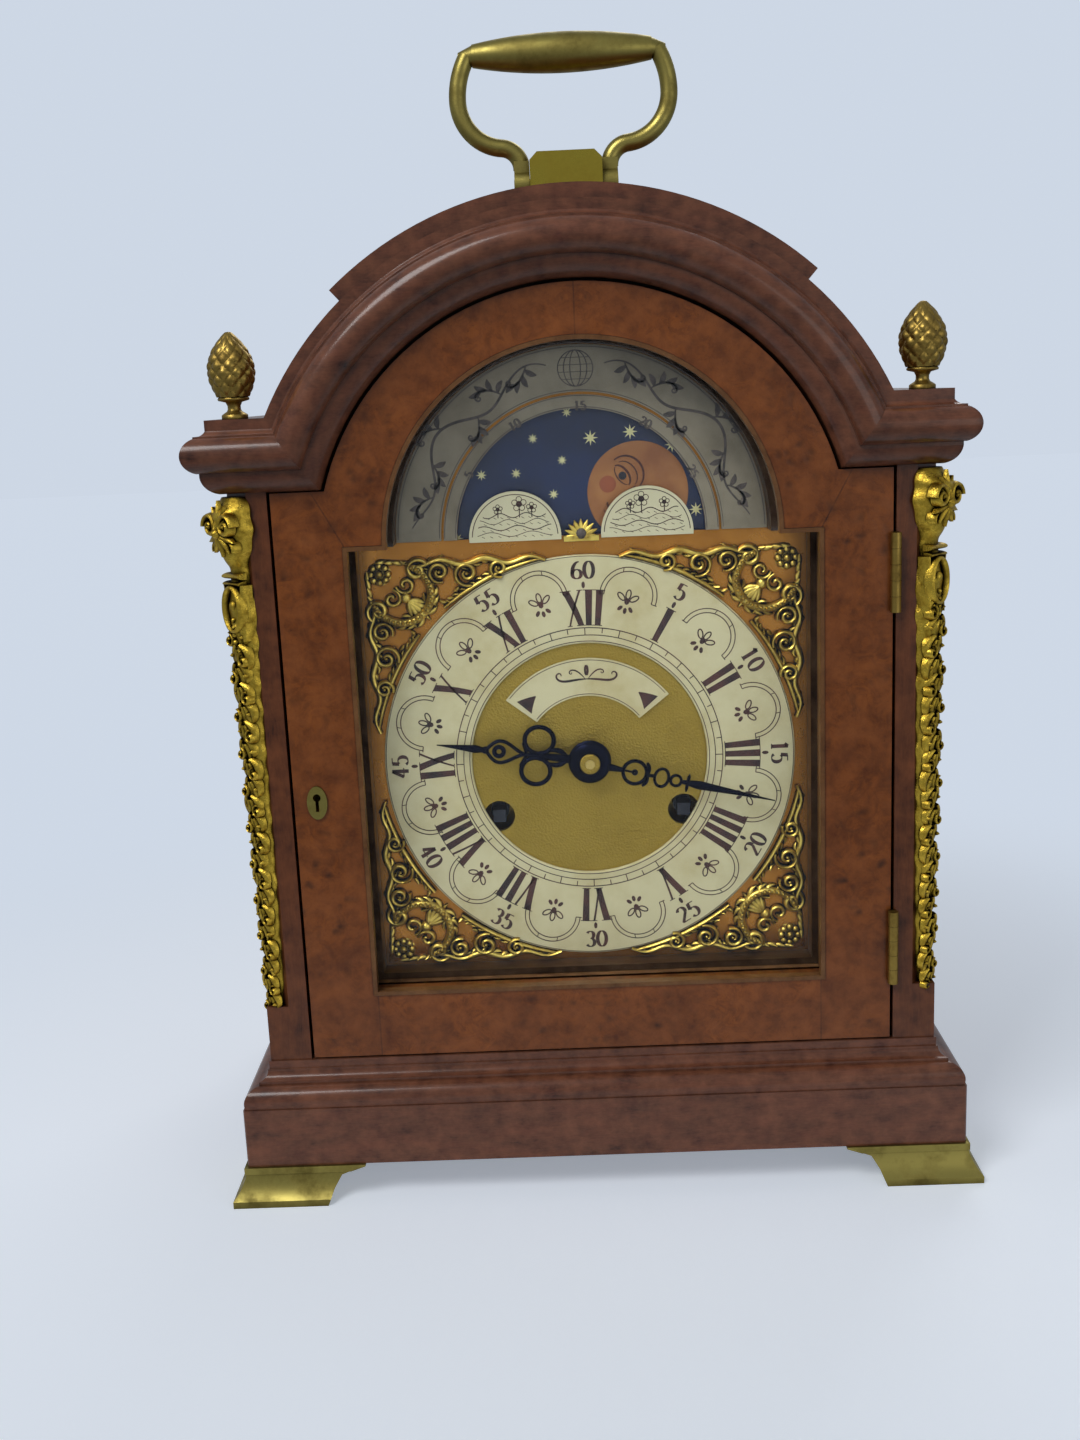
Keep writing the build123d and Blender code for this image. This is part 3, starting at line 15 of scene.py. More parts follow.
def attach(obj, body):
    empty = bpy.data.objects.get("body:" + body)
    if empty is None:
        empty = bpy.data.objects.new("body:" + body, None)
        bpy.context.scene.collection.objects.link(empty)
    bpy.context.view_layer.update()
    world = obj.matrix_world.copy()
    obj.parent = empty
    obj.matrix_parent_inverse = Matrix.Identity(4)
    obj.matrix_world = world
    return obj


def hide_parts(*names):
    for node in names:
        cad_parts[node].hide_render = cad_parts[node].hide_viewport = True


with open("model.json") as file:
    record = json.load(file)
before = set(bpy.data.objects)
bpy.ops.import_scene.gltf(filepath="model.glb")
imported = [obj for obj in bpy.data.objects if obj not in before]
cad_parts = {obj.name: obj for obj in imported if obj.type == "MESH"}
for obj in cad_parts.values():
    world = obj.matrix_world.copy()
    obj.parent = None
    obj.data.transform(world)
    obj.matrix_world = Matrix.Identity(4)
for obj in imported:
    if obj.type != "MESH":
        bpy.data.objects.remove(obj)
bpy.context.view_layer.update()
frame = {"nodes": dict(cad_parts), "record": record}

MM = 0.001
print("solids loaded:", len(frame["nodes"]))

# %% [markdown]
# The camera stands where the photographer stood: half a metre in front of the dial, a little
# above its centre, looking slightly down and held a little crooked. A long side of 36 mm on the
# sensor makes the lens length easy to read.

# %% Camera
camera_place = np.array([-6.88, -501.06, 248.27])
camera_yaw, camera_pitch, camera_roll = np.radians([-1.03, 12.397, -2.529])
lens_length = 37.43


def camera_axes(yaw, pitch, roll):
    """Right, up and forward: forward from yaw and pitch, then right and up turned by the roll."""
    forward = np.array([np.sin(yaw) * np.cos(pitch), np.cos(yaw) * np.cos(pitch), -np.sin(pitch)])
    level = np.array([np.cos(yaw), -np.sin(yaw), 0.0])
    upright = np.cross(level, forward)
    right = np.cos(roll) * level + np.sin(roll) * upright
    up = np.cos(roll) * upright - np.sin(roll) * level
    return right, up, forward


right, up, forward = camera_axes(camera_yaw, camera_pitch, camera_roll)
camera = bpy.data.objects.new("camera", bpy.data.cameras.new("camera"))
bpy.context.scene.collection.objects.link(camera)
camera.data.sensor_fit = "VERTICAL"
camera.data.sensor_height = 36.0
camera.data.lens = lens_length
camera.data.clip_start = 0.01
turn = np.eye(4)
turn[:3, 0], turn[:3, 1], turn[:3, 2] = right, up, -forward
turn[:3, 3] = camera_place * MM
camera.matrix_world = Matrix(turn.tolist())
bpy.context.scene.camera = camera
bpy.context.scene.view_settings.view_transform = "Standard"
print("camera at", np.round(camera_place), "mm, lens", lens_length, "mm")

# %% [markdown]
# A material is a small graph of nodes. These helpers keep each graph readable: one adds a node
# and wires it, one mixes two colours, one turns a grey value into colours along a ramp.
# Colours are written as the 0 to 255 values of a colour picker and made linear once, here.

# %% Node helpers


def paint(red, green, blue):
    """A linear colour from the 0 to 255 values of a colour picker: each is raised to the power 2.2."""
    return tuple((np.array([red, green, blue]) / 255.0) ** 2.2) + (1.0,)


def grey(level):
    """A grey of that linear level."""
    return (level, level, level, 1.0)


def filled(tree, made, inputs):
    """Fills a node's inputs by name: another node's socket is linked, and a value is set."""
    for key, value in inputs.items():
        if isinstance(value, bpy.types.NodeSocket):
            tree.links.new(value, made.inputs[key])
        else:
            made.inputs[key].default_value = value
    return made


def node(tree, kind, inputs, **settings):
    """Adds a node; inputs fill its sockets and settings are its properties."""
    made = tree.nodes.new("ShaderNode" + kind)
    for key, value in settings.items():
        setattr(made, key, value)
    return filled(tree, made, inputs)


def maths(tree, operation, first, second=0.0, third=0.0, clamp=False):
    """One sum of numbers or sockets; MULTIPLY_ADD is first times second plus third."""
    inputs = {0: first, 1: second, 2: third}
    return node(tree, "Math", inputs, operation=operation, use_clamp=clamp).outputs[0]


def blend(tree, factor, under, over):
    """Mixes two colours: under at factor 0, over at factor 1."""
    return node(tree, "Mix", {0: factor, 6: under, 7: over}, data_type="RGBA").outputs[2]


def ramp(tree, value, low, high, first=grey(0.0), last=grey(1.0)):
    """A colour that runs evenly from first, where the value is low, to last, where it is high."""
    made = node(tree, "ValToRGB", {0: value})
    for element, place, colour in zip(made.color_ramp.elements, (low, high), (first, last)):
        element.position = place
        element.color = colour
    return made.outputs[0]


def noise(tree, place, scale, detail=4.0, roughness=0.6, distortion=0.0):
    """Cloudy noise from 0 to 1 at a place; scale is in blobs per metre."""
    inputs = {"Vector": place, "Scale": scale, "Detail": detail, "Roughness": roughness,
              "Distortion": distortion}
    return node(tree, "TexNoise", inputs).outputs[0]


def stretched(tree, place, scale, location=(0, 0, 0)):
    """The place, scaled along each axis and then moved."""
    return node(tree, "Mapping", {"Vector": place, "Location": location, "Scale": scale}).outputs[0]


def swirled(tree, place, scale, reach):
    """The place pushed aside by slow noise, by up to reach along each axis."""
    push = node(tree, "TexNoise", {"Vector": place, "Scale": scale, "Detail": 2.0}).outputs[1]
    shift = node(tree, "VectorMath", {0: push, "Scale": reach}, operation="SCALE").outputs[0]
    return node(tree, "VectorMath", {0: place, 1: shift}, operation="ADD").outputs[0]


def distance(tree, place):
    """How far a place is from the origin."""
    return node(tree, "VectorMath", {0: place}, operation="LENGTH").outputs["Value"]


def new_group(name, inputs, outputs):
    """A shader node group from its inputs (name, kind, default) and outputs (name, kind): the tree,
    the sockets of its inputs, and the node that takes its outputs."""
    tree = bpy.data.node_groups.new(name, "ShaderNodeTree")
    for title, kind, value in inputs:
        socket = tree.interface.new_socket(title, in_out="INPUT", socket_type="NodeSocket" + kind)
        if value is not None:
            socket.default_value = value
    for title, kind in outputs:
        tree.interface.new_socket(title, in_out="OUTPUT", socket_type="NodeSocket" + kind)
    return tree, tree.nodes.new("NodeGroupInput").outputs, tree.nodes.new("NodeGroupOutput")


def placed(tree, group, inputs):
    """Puts a group into a material with its own values."""
    made = tree.nodes.new("ShaderNodeGroup")
    made.node_tree = group
    return filled(tree, made, inputs).outputs


def opened(material):
    """A material's tree, its Principled shader and the socket of its Object place."""
    tree = material.node_tree
    coordinates = next(n for n in tree.nodes if n.type == "TEX_COORD")
    return tree, tree.nodes["Principled BSDF"], coordinates.outputs["Object"]


def new_material(name):
    """An empty material with one Principled shader, and what opened gives of it."""
    made = bpy.data.materials.new(name)
    made.use_nodes = True
    made.node_tree.nodes.new("ShaderNodeTexCoord")
    return made, *opened(made)


def bumped(tree, shader, height, strength, depth):
    """Turns a height into the shader's normal; depth is in metres."""
    made = node(tree, "Bump", {"Height": height, "Strength": strength, "Distance": depth})
    filled(tree, shader, {"Normal": made.outputs[0]})


print("white is", paint(255, 255, 255))

# %% [markdown]
# Where a surface is hidden from the light it is painted darker: this is painted shade, and on the
# metals it also stands for dirt. Handling brightens the corners that stand out. Ambient occlusion
# measures both on any mesh: rays sent outwards find the hollows, and rays sent into the solid find
# the sharp edges. Two small groups give these masks.

# %% Hollow and edge groups
# The hollow mask below lays painted shade into the colours of the finishes (on the metals, dirt too).
tree, given, finish = new_group("hollow_mask", [("Reach", "Float", 0.002), ("Start", "Float", 0.9)],
                                [("Mask", "Float")])
occlusion = node(tree, "AmbientOcclusion", {"Distance": given["Reach"]}, samples=8)
open_share = maths(tree, "DIVIDE", occlusion.outputs["AO"], given["Start"], clamp=True)
filled(tree, finish, {"Mask": maths(tree, "SUBTRACT", 1.0, open_share)})
hollow_mask = tree

tree, given, finish = new_group("edge_mask", [("Reach", "Float", 0.001), ("Place", "Vector", None)],
                                [("Mask", "Float")])
inner = node(tree, "AmbientOcclusion", {"Distance": given["Reach"]}, samples=8, inside=True)
sharp = maths(tree, "MULTIPLY", inner.outputs["AO"], 1.6, clamp=True)
worn = maths(tree, "MULTIPLY_ADD", noise(tree, given["Place"], 160.0), 1.8, -0.45, clamp=True)
filled(tree, finish, {"Mask": maths(tree, "MULTIPLY", sharp, worn)})
edge_mask = tree
print("groups:", hollow_mask.name, edge_mask.name)

# %% [markdown]
# The case is covered in walnut. The door front is burl, cut from a growth on the trunk: its figure
# runs in no direction, with clouds of orange and brown and clusters of small dark eyes.
# Noise that is bent by slower noise gives the clouds, and cells give the eyes.

# %% Burl figure group
tree, given, finish = new_group(
    "burl_figure",
    [("Place", "Vector", None), ("Light", "Color", grey(0.5)), ("Middle", "Color", grey(0.3)),
     ("Dark", "Color", grey(0.1))],
    [("Colour", "Color"), ("Height", "Float"), ("Roughness", "Float")])
place = given["Place"]
clouds = noise(tree, place, 34.0, 5.0, 0.62, 1.4)
base = blend(tree, ramp(tree, clouds, 0.30, 0.70), given["Middle"], given["Light"])
curl = noise(tree, place, 150.0, 4.0, 0.7, 2.2)
streak = ramp(tree, curl, 0.40, 0.60, grey(0.75), grey(0.0))
base = blend(tree, streak, base, given["Middle"])
cells = node(tree, "TexVoronoi", {"Vector": swirled(tree, place, 60.0, 0.012), "Scale": 210.0})
eyes = ramp(tree, cells.outputs["Distance"], 0.10, 0.42, grey(1.0), grey(0.0))
clusters = ramp(tree, noise(tree, place, 26.0, 3.0), 0.45, 0.60)
dark = maths(tree, "MULTIPLY", eyes, clusters)
blots = ramp(tree, noise(tree, place, 75.0, 5.0, 0.7, 0.8), 0.60, 0.74, last=grey(0.8))
dark = maths(tree, "MAXIMUM", dark, blots)
pores = ramp(tree, noise(tree, place, 1300.0, 2.0), 0.30, 0.42, grey(0.35), grey(0.0))
dark = maths(tree, "MAXIMUM", dark, pores)
filled(tree, finish, {"Colour": blend(tree, dark, base, given["Dark"]),
                      "Height": maths(tree, "SUBTRACT", clouds, dark),
                      "Roughness": maths(tree, "MULTIPLY_ADD", clouds, 0.2, 0.22)})
burl_figure = tree
print("group:", burl_figure.name)

# %% [markdown]
# Mouldings and sides are straight-grained walnut. Grain is the same noise squeezed hard across the
# board and left long along it, so it reads as lines; a slow noise bends the lines a little.

# %% Straight grain group
tree, given, finish = new_group(
    "straight_grain",
    [("Place", "Vector", None), ("Light", "Color", grey(0.5)), ("Dark", "Color", grey(0.1))],
    [("Colour", "Color"), ("Height", "Float"), ("Roughness", "Float")])
place = swirled(tree, given["Place"], 0.9, 0.5)
lines = noise(tree, place, 6.0, 5.0, 0.65)
fine = noise(tree, place, 46.0, 3.0, 0.6)
mixed = maths(tree, "MULTIPLY_ADD", fine, 0.35, maths(tree, "MULTIPLY", lines, 0.65), clamp=True)
filled(tree, finish, {"Colour": blend(tree, ramp(tree, mixed, 0.34, 0.62), given["Dark"], given["Light"]),
                      "Height": mixed,
                      "Roughness": maths(tree, "MULTIPLY_ADD", lines, 0.25, 0.2)})
straight_grain = tree
print("group:", straight_grain.name)

# %% [markdown]
# Brass is never one flat gold: lacquer thins, fingers tarnish it and casting leaves a fine skin.
# This group mottles between a bright and a tarnished colour, with a faint pitted height.

# %% Metal skin group
tree, given, finish = new_group(
    "metal_skin",
    [("Place", "Vector", None), ("Bright", "Color", grey(0.8)), ("Tarnish", "Color", grey(0.3)),
     ("Scale", "Float", 60.0), ("Amount", "Float", 0.5)],
    [("Colour", "Color"), ("Height", "Float"), ("Mottle", "Float")])
patches = noise(tree, given["Place"], given["Scale"], 6.0, 0.65)
weight = maths(tree, "MULTIPLY", ramp(tree, patches, 0.42, 0.68), given["Amount"], clamp=True)
pits = noise(tree, given["Place"], 2400.0, 2.0)
filled(tree, finish, {"Colour": blend(tree, weight, given["Bright"], given["Tarnish"]),
                      "Height": maths(tree, "ADD", maths(tree, "MULTIPLY", patches, 0.6), pits),
                      "Mottle": weight})
metal_skin = tree
print("group:", metal_skin.name)

# %% [markdown]
# With the groups made, a finish is a short recipe: the figure's colours, how dark the hollows are,
# how much the edges are rubbed, and how deep the polish is.

# %% Wood finishes


def finished_wood(tree, shader, place, figure, colour, hollow_shade, worn, polish):
    """Paints shade into the hollows, lightens the worn edges and adds a coat of shellac polish."""
    shade = placed(tree, hollow_mask, {"Reach": 0.006})["Mask"]
    colour = blend(tree, maths(tree, "MULTIPLY", shade, 1.5, clamp=True), colour, hollow_shade)
    rubbed = placed(tree, edge_mask, {"Reach": 0.0012, "Place": place})["Mask"]
    colour = blend(tree, maths(tree, "MULTIPLY", rubbed, 0.7), colour, worn)
    filled(tree, shader, {"Base Color": colour, "Roughness": figure["Roughness"],
                          "Specular IOR Level": 0.2, "Coat Weight": polish, "Coat Roughness": 0.16})
    bumped(tree, shader, figure["Height"], 0.25, 0.0004)


def grain_wood(name, light, dark, scale, worn, polish):
    """Straight-grained walnut; scale squeezes the grain, so the smallest number runs along it."""
    made, tree, shader, place = new_material(name)
    inputs = {"Place": stretched(tree, place, scale), "Light": light, "Dark": dark}
    grain = placed(tree, straight_grain, inputs)
    # paint(22, 12, 10) is the colour of the painted shade laid into the hollows.
    finished_wood(tree, shader, place, grain, grain["Colour"], paint(22, 12, 10), worn, polish)
    return made


moulding_walnut = grain_wood("moulding_walnut", paint(112, 66, 50), paint(46, 27, 22), (9, 40, 40),
                             paint(160, 104, 76), 0.6)
side_walnut = grain_wood("side_walnut", paint(104, 60, 38), paint(48, 26, 19), (50, 50, 6),
                         paint(150, 90, 56), 0.5)
stained_wood = grain_wood("stained_wood", paint(72, 54, 44), paint(40, 30, 26), (10, 50, 50),
                          paint(96, 76, 60), 0.15)
pale_bead = grain_wood("pale_bead", paint(120, 80, 48), paint(82, 52, 32), (30, 30, 30),
                       paint(160, 116, 76), 0.3)
print("straight woods:", moulding_walnut.name, side_walnut.name, stained_wood.name, pale_bead.name)

# %% [markdown]
# The door's burl is laid in sheets, so the joints show: one upright seam at the top of the arch,
# where two sheets from the same burl open like a book, a joint where the bottom rail meets each
# stile, and a slanted one from each shoulder of the window up to the cornice.
# Taking the distance from the middle instead of x mirrors the figure, as on the door.

# %% Door veneer
door_rail_top = 66.0
door_stile_inner = 69.5
arch_height = 204.4
joint_across, joint_up = 0.88, 0.475
joint_place = joint_across * door_stile_inner - joint_up * arch_height
seam_half = 0.22


def seam(tree, value, line, where):
    """A mask that is 1 within the seam's half width of a line, but only where the other mask is 1."""
    away = maths(tree, "ABSOLUTE", maths(tree, "SUBTRACT", value, line * MM))
    return maths(tree, "MULTIPLY", where, maths(tree, "LESS_THAN", away, seam_half * MM))


door_veneer, tree, shader, place = new_material("door_veneer")
across, along, up = node(tree, "SeparateXYZ", {0: place}).outputs
from_middle = maths(tree, "ABSOLUTE", across)
in_rail = maths(tree, "LESS_THAN", up, door_rail_top * MM)
above_rail = maths(tree, "GREATER_THAN", up, door_rail_top * MM)
above_shoulder = maths(tree, "GREATER_THAN", up, arch_height * MM)
between = maths(tree, "LESS_THAN", from_middle, door_stile_inner * MM)
rail_shift = maths(tree, "MULTIPLY", maths(tree, "MULTIPLY", in_rail, between), 3.0)
sheet = node(tree, "CombineXYZ", {0: from_middle, 1: rail_shift, 2: up}).outputs[0]
burl = placed(tree, burl_figure, {"Place": sheet, "Light": paint(156, 86, 34), "Middle": paint(90, 46, 20),
                                  "Dark": paint(22, 12, 8)})
slanted = maths(tree, "SUBTRACT", maths(tree, "MULTIPLY", from_middle, joint_across),
                maths(tree, "MULTIPLY", up, joint_up))
seams = seam(tree, from_middle, door_stile_inner, in_rail)
for value, line, where in ((up, door_rail_top, between), (across, 0.0, above_rail),
                           (slanted, joint_place, above_shoulder)):
    seams = maths(tree, "MAXIMUM", seams, seam(tree, value, line, where))
veneer = blend(tree, maths(tree, "MULTIPLY", seams, 0.8), burl["Colour"], paint(36, 18, 12))
# paint(24, 12, 8) is the colour of the painted shade laid into the door's hollows.
finished_wood(tree, shader, place, burl, veneer, paint(24, 12, 8), paint(176, 104, 56), 0.5)
print("door veneer with its seams")

# %% [markdown]
# Every metal on the clock is one recipe with other numbers: a bright and a tarnished colour,
# a colour for the painted shade and dirt in the hollows, and how rough and how mottled it is.
# Gilt castings get dark brown painted shade and dirt round every scroll, which is what makes the relief
# readable.

# %% Metal finishes


def metal(name, bright, tarnish, shade_and_dirt, roughness, mottle=0.5, scale=60.0, reach=0.0015, shade_and_dirt_strength=1.0,
          metallic=1.0, depth=0.00008):
    """A metal with mottled tarnish, painted shade with some soiling in its hollows, and bright rubbed edges.
    """
    made, tree, shader, place = new_material(name)
    inputs = {"Place": place, "Bright": bright, "Tarnish": tarnish, "Scale": scale, "Amount": mottle}
    skin = placed(tree, metal_skin, inputs)
    hollow_shade = placed(tree, hollow_mask, {"Reach": reach})["Mask"]
    shade_and_dirt_mask = maths(tree, "MULTIPLY", hollow_shade, shade_and_dirt_strength, clamp=True)
    rubbed = placed(tree, edge_mask, {"Reach": 0.0005, "Place": place})["Mask"]
    colour = blend(tree, maths(tree, "MULTIPLY", rubbed, 0.5), skin["Colour"], bright)
    rough = maths(tree, "MULTIPLY_ADD", maths(tree, "MAXIMUM", shade_and_dirt_mask, skin["Mottle"]), 0.3, roughness)
    # The hollows are painted darker here: painted shade, with some dirt.
    filled(tree, shader, {"Base Color": blend(tree, shade_and_dirt_mask, colour, shade_and_dirt), "Metallic": metallic,
                          "Roughness": rough})
    bumped(tree, shader, skin["Height"], 0.3, depth)
    return made


# In each metal below the third colour is painted shade, with some dirt, laid into its hollows.
gilt_brass = metal("gilt_brass", paint(236, 202, 98), paint(138, 104, 42), paint(34, 24, 12), 0.28,
                   0.85, 260.0, 0.0026, 2.4)
corner_brass = metal("corner_brass", paint(226, 190, 74), paint(126, 96, 28), paint(30, 22, 8), 0.26,
                     0.9, 420.0, 0.003, 2.6, depth=0.0005)
finial_brass = metal("finial_brass", paint(170, 142, 74), paint(96, 76, 40), paint(30, 22, 14), 0.34,
                     0.8, 200.0, 0.002, 2.4)
handle_brass = metal("handle_brass", paint(184, 164, 66), paint(116, 96, 40), paint(48, 36, 20), 0.26, 0.7)
aged_brass = metal("aged_brass", paint(166, 152, 84), paint(98, 86, 46), paint(40, 32, 18), 0.34, 0.9,
                   90.0, 0.004)
plate_brass = metal("plate_brass", paint(214, 182, 104), paint(168, 134, 70), paint(70, 52, 28), 0.22, 0.35)
bell_metal = metal("bell_metal", paint(204, 190, 140), paint(160, 142, 96), paint(70, 60, 40), 0.2, 0.4)
steel = metal("steel", paint(176, 178, 180), paint(120, 120, 122), paint(50, 48, 46), 0.25, 0.4)
blued_steel = metal("blued_steel", paint(22, 24, 38), paint(13, 14, 22), paint(12, 12, 16), 0.28, 0.6,
                    90.0, 0.0012)
silvered = metal("silvered", paint(208, 196, 152), paint(182, 164, 112), paint(110, 92, 60), 0.46, 0.8,
                 45.0, 0.002, 0.8, 0.15)
# The dark grey of this silver is painted shade, for the arch plate lies deep under the arch.
arch_silver_painted_shade = metal("arch_silver_painted_shade", paint(140, 128, 106), paint(104, 92, 74), paint(60, 52, 42), 0.4, 0.8,
                    45.0, 0.003, 1.2, 0.4)
arbor_steel = metal("arbor_steel", paint(70, 70, 74), paint(36, 36, 38), paint(12, 12, 12), 0.3, 0.6)
print("metals ready")

# %% [markdown]
# The dial plate is polished brass, but inside the chapter ring it is matted: thousands of punch
# marks make it sparkle softly instead of shining. Distance from the dial's centre chooses between
# the two, and small cells in the middle stand for the punch marks.

# %% Dial plate
dial_centre = 133.5
matted_radius = 37.6


def recoloured(tree, shader, mask, share, colour):
    """Lays a colour over the shader's own where the mask is 1."""
    own = shader.inputs["Base Color"].links[0].from_socket
    weight = maths(tree, "MULTIPLY", mask, share)
    filled(tree, shader, {"Base Color": blend(tree, weight, own, colour)})


dial_brass = metal("dial_brass", paint(184, 122, 54), paint(132, 82, 32), paint(80, 52, 22), 0.24, 0.6)
tree, shader, place = opened(dial_brass)
away = distance(tree, stretched(tree, place, (1, 0, 1), (0, 0, -dial_centre * MM)))
matted = maths(tree, "LESS_THAN", away, matted_radius * MM)
punched = node(tree, "TexVoronoi", {"Vector": place, "Scale": 1500.0}).outputs["Distance"]
filled(tree, tree.nodes["Bump"], {"Height": maths(tree, "MULTIPLY", punched, matted), "Distance": 0.0003,
                                  "Strength": 0.6})
rough = shader.inputs["Roughness"].links[0].from_socket
filled(tree, shader, {"Roughness": maths(tree, "MULTIPLY_ADD", matted, 0.22, rough)})
recoloured(tree, shader, matted, 0.8, paint(164, 144, 66))
print("matted centre within", matted_radius, "mm")

# %% [markdown]
# The arch's plate is one solid. Its grey is painted shade, for the plate lies deep under the arch,
# while its two humps get a light silver without that painted shade.
# A mask of two round patches, mirrored by taking the distance from the middle, tells them apart.

# %% Arch plate
hump_across, hump_reach = 20.3, 14.5
tree, shader, place = opened(arch_silver_painted_shade)
across, along, up = node(tree, "SeparateXYZ", {0: place}).outputs
beside = maths(tree, "SUBTRACT", maths(tree, "ABSOLUTE", across), hump_across * MM)
above = maths(tree, "SUBTRACT", up, arch_height * MM)
away = distance(tree, node(tree, "CombineXYZ", {0: beside, 1: above, 2: 0.0}).outputs[0])
unshaded = maths(tree, "LESS_THAN", away, hump_reach * MM)
# The humps get a light silver, without the painted shade of the rest of the plate.
recoloured(tree, shader, unshaded, 0.85, paint(218, 208, 168))
print("fresh silver within", hump_reach, "mm of each hump's middle")

# %% [markdown]
# Wax, paint and glass. The engraving is filled with dark wax that has browned in places.
# The moon disc carries a night-blue paint, the moons a flesh colour and the stars gold leaf.
# Glass must not darken what is behind it, so shadow rays pass straight through.

# %% Wax, paint and glass


def plain_paint(name, first, second, scale, roughness, coat=0.0):
    """Brushed paint or wax: two close colours mixed by noise, with a slight brushed height."""
    made, tree, shader, place = new_material(name)
    cloud = noise(tree, place, scale, 5.0, 0.65)
    filled(tree, shader, {"Base Color": blend(tree, ramp(tree, cloud, 0.35, 0.65), first, second),
                          "Roughness": maths(tree, "MULTIPLY_ADD", cloud, 0.2, roughness),
                          "Coat Weight": coat})
    bumped(tree, shader, noise(tree, place, 1800.0, 3.0), 0.2, 0.00008)
    return made


dial_wax = plain_paint("dial_wax", paint(40, 28, 26), paint(84, 48, 40), 130.0, 0.45)
grey_wax = plain_paint("grey_wax", paint(58, 50, 46), paint(96, 84, 76), 220.0, 0.5)
night_blue = plain_paint("night_blue", paint(8, 20, 50), paint(14, 32, 70), 70.0, 0.3, 0.2)
moon_flesh = plain_paint("moon_flesh", paint(128, 76, 36), paint(160, 106, 56), 60.0, 0.4, 0.1)
moon_blush = plain_paint("moon_blush", paint(128, 66, 38), paint(142, 76, 46), 60.0, 0.5)
moon_line = plain_paint("moon_line", paint(58, 28, 18), paint(86, 44, 28), 200.0, 0.5)
moon_white = plain_paint("moon_white", paint(222, 206, 186), paint(200, 180, 158), 200.0, 0.4)
moon_dark = plain_paint("moon_dark", paint(30, 26, 32), paint(50, 42, 48), 200.0, 0.4)
gold_leaf = metal("gold_leaf", paint(214, 206, 150), paint(170, 160, 100), paint(120, 96, 50), 0.35, 0.4,
                  metallic=0.4)

pane_glass, tree, shader, place = new_material("pane_glass")
smear = noise(tree, place, 28.0, 3.0)
filled(tree, shader, {"Transmission Weight": 1.0, "IOR": 1.25,
                      "Roughness": ramp(tree, smear, 0.3, 0.8, grey(0.01), grey(0.05)),
                      "Base Color": ramp(tree, smear, 0.0, 1.0, paint(246, 250, 250), paint(252, 253, 253))})
clear = node(tree, "BsdfTransparent", {"Color": paint(250, 252, 252)}).outputs[0]
shadow = node(tree, "LightPath", {}).outputs["Is Shadow Ray"]
through = node(tree, "MixShader", {0: shadow, 1: shader.outputs[0], 2: clear}).outputs[0]
filled(tree, tree.nodes["Material Output"], {"Surface": through})
print("wax, paint and glass ready")

# %% [markdown]
# Each solid names the finish it was drawn with, so one table from finish to material dresses them
# all, and a second, short one gives a few solids a finish of their own by name.
# Only the material changes: the solids stay exactly where the frame put them.

# %% Dress the solids
finish_of_slot = {
    "moulding_wood": moulding_walnut, "case_wood": side_walnut, "door_veneer": door_veneer,
    "dark_wood": stained_wood, "foot_brass": aged_brass, "handle_brass": handle_brass,
    "gilt_brass": gilt_brass, "bead_wood": pale_bead, "pane_glass": pane_glass,
    "dial_brass": dial_brass, "silvered_brass": silvered, "moon_paint": night_blue,
    "blued_steel": blued_steel, "plate_brass": plate_brass, "movement_steel": steel,
    "bob_brass": plate_brass, "bell_metal": bell_metal}
finish_of_solid = {
    "arch_plate": arch_silver_painted_shade, "going_arbor": arbor_steel, "strike_arbor": arbor_steel,
    "escutcheon": aged_brass, "door_hinges": finial_brass, "case_hinges": finial_brass}
for part in frame["record"]["subparts"]:
    mesh = frame["nodes"][part["node"]].data
    mesh.materials.clear()
    mesh.materials.append(finish_of_solid.get(part["node"], finish_of_slot[part["material_slot"]]))

# %% [markdown]
# The fine pieces share two kinds of surface. A skin is stretched over rows of points, like paper
# over the ribs of a lantern: each row is one cross-section, and rows follow a path.
# A strip has four corners in each row and makes flat things, such as wax in an engraved line.
# A bead has half an ellipse in each row and makes cast scrolls and leaves.

# %% Surface helpers


def skin(rows, ring=False):
    """Quads over rows of points (rows, columns, xyz): columns close round, and the ends get flat caps
    unless the last row joins the first."""
    count, wide = rows.shape[:2]
    index = np.arange(count * wide).reshape(count, wide)
    if ring:
        index = np.vstack([index, index[:1]])
    beside = np.roll(index, -1, axis=1)
    sides = np.stack([index[:-1], beside[:-1], beside[1:], index[1:]], axis=-1).reshape(-1, 4)
    return rows.reshape(-1, 3), [sides] if ring else [sides, index[:1], index[-1:]]


def mesh_piece(name, shapes, material, body, replaced=(), sharp=40.0):
    """Gathers shapes into one mesh, turns its faces outwards and hangs it on a body of the clock."""
    starts = np.cumsum([0] + [len(points) for points, blocks in shapes])
    faces = [face for (points, blocks), start in zip(shapes, starts) for block in blocks
             for face in (block + start).tolist()]
    mesh = bpy.data.meshes.new(name)
    mesh.from_pydata((np.vstack([points for points, blocks in shapes]) * MM).tolist(), [], faces)
    work = bmesh.new()
    work.from_mesh(mesh)
    bmesh.ops.recalc_face_normals(work, faces=work.faces)
    work.to_mesh(mesh)
    work.free()
    mesh.polygons.foreach_set("use_smooth", np.ones(len(mesh.polygons), bool))
    mesh.set_sharp_from_angle(angle=np.radians(sharp))
    mesh.materials.append(material)
    piece = bpy.data.objects.new(name, mesh)
    bpy.context.scene.collection.objects.link(piece)
    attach(piece, body)
    if replaced:
        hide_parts(*replaced)
    print(name, len(shapes), "shapes,", len(faces), "faces")


def on_plane(flat, depth):
    """Drawing points (across, up) stood upright in the clock at depth y."""
    return np.stack([flat[..., 0], np.broadcast_to(depth, flat.shape[:-1]), flat[..., 1]], axis=-1)


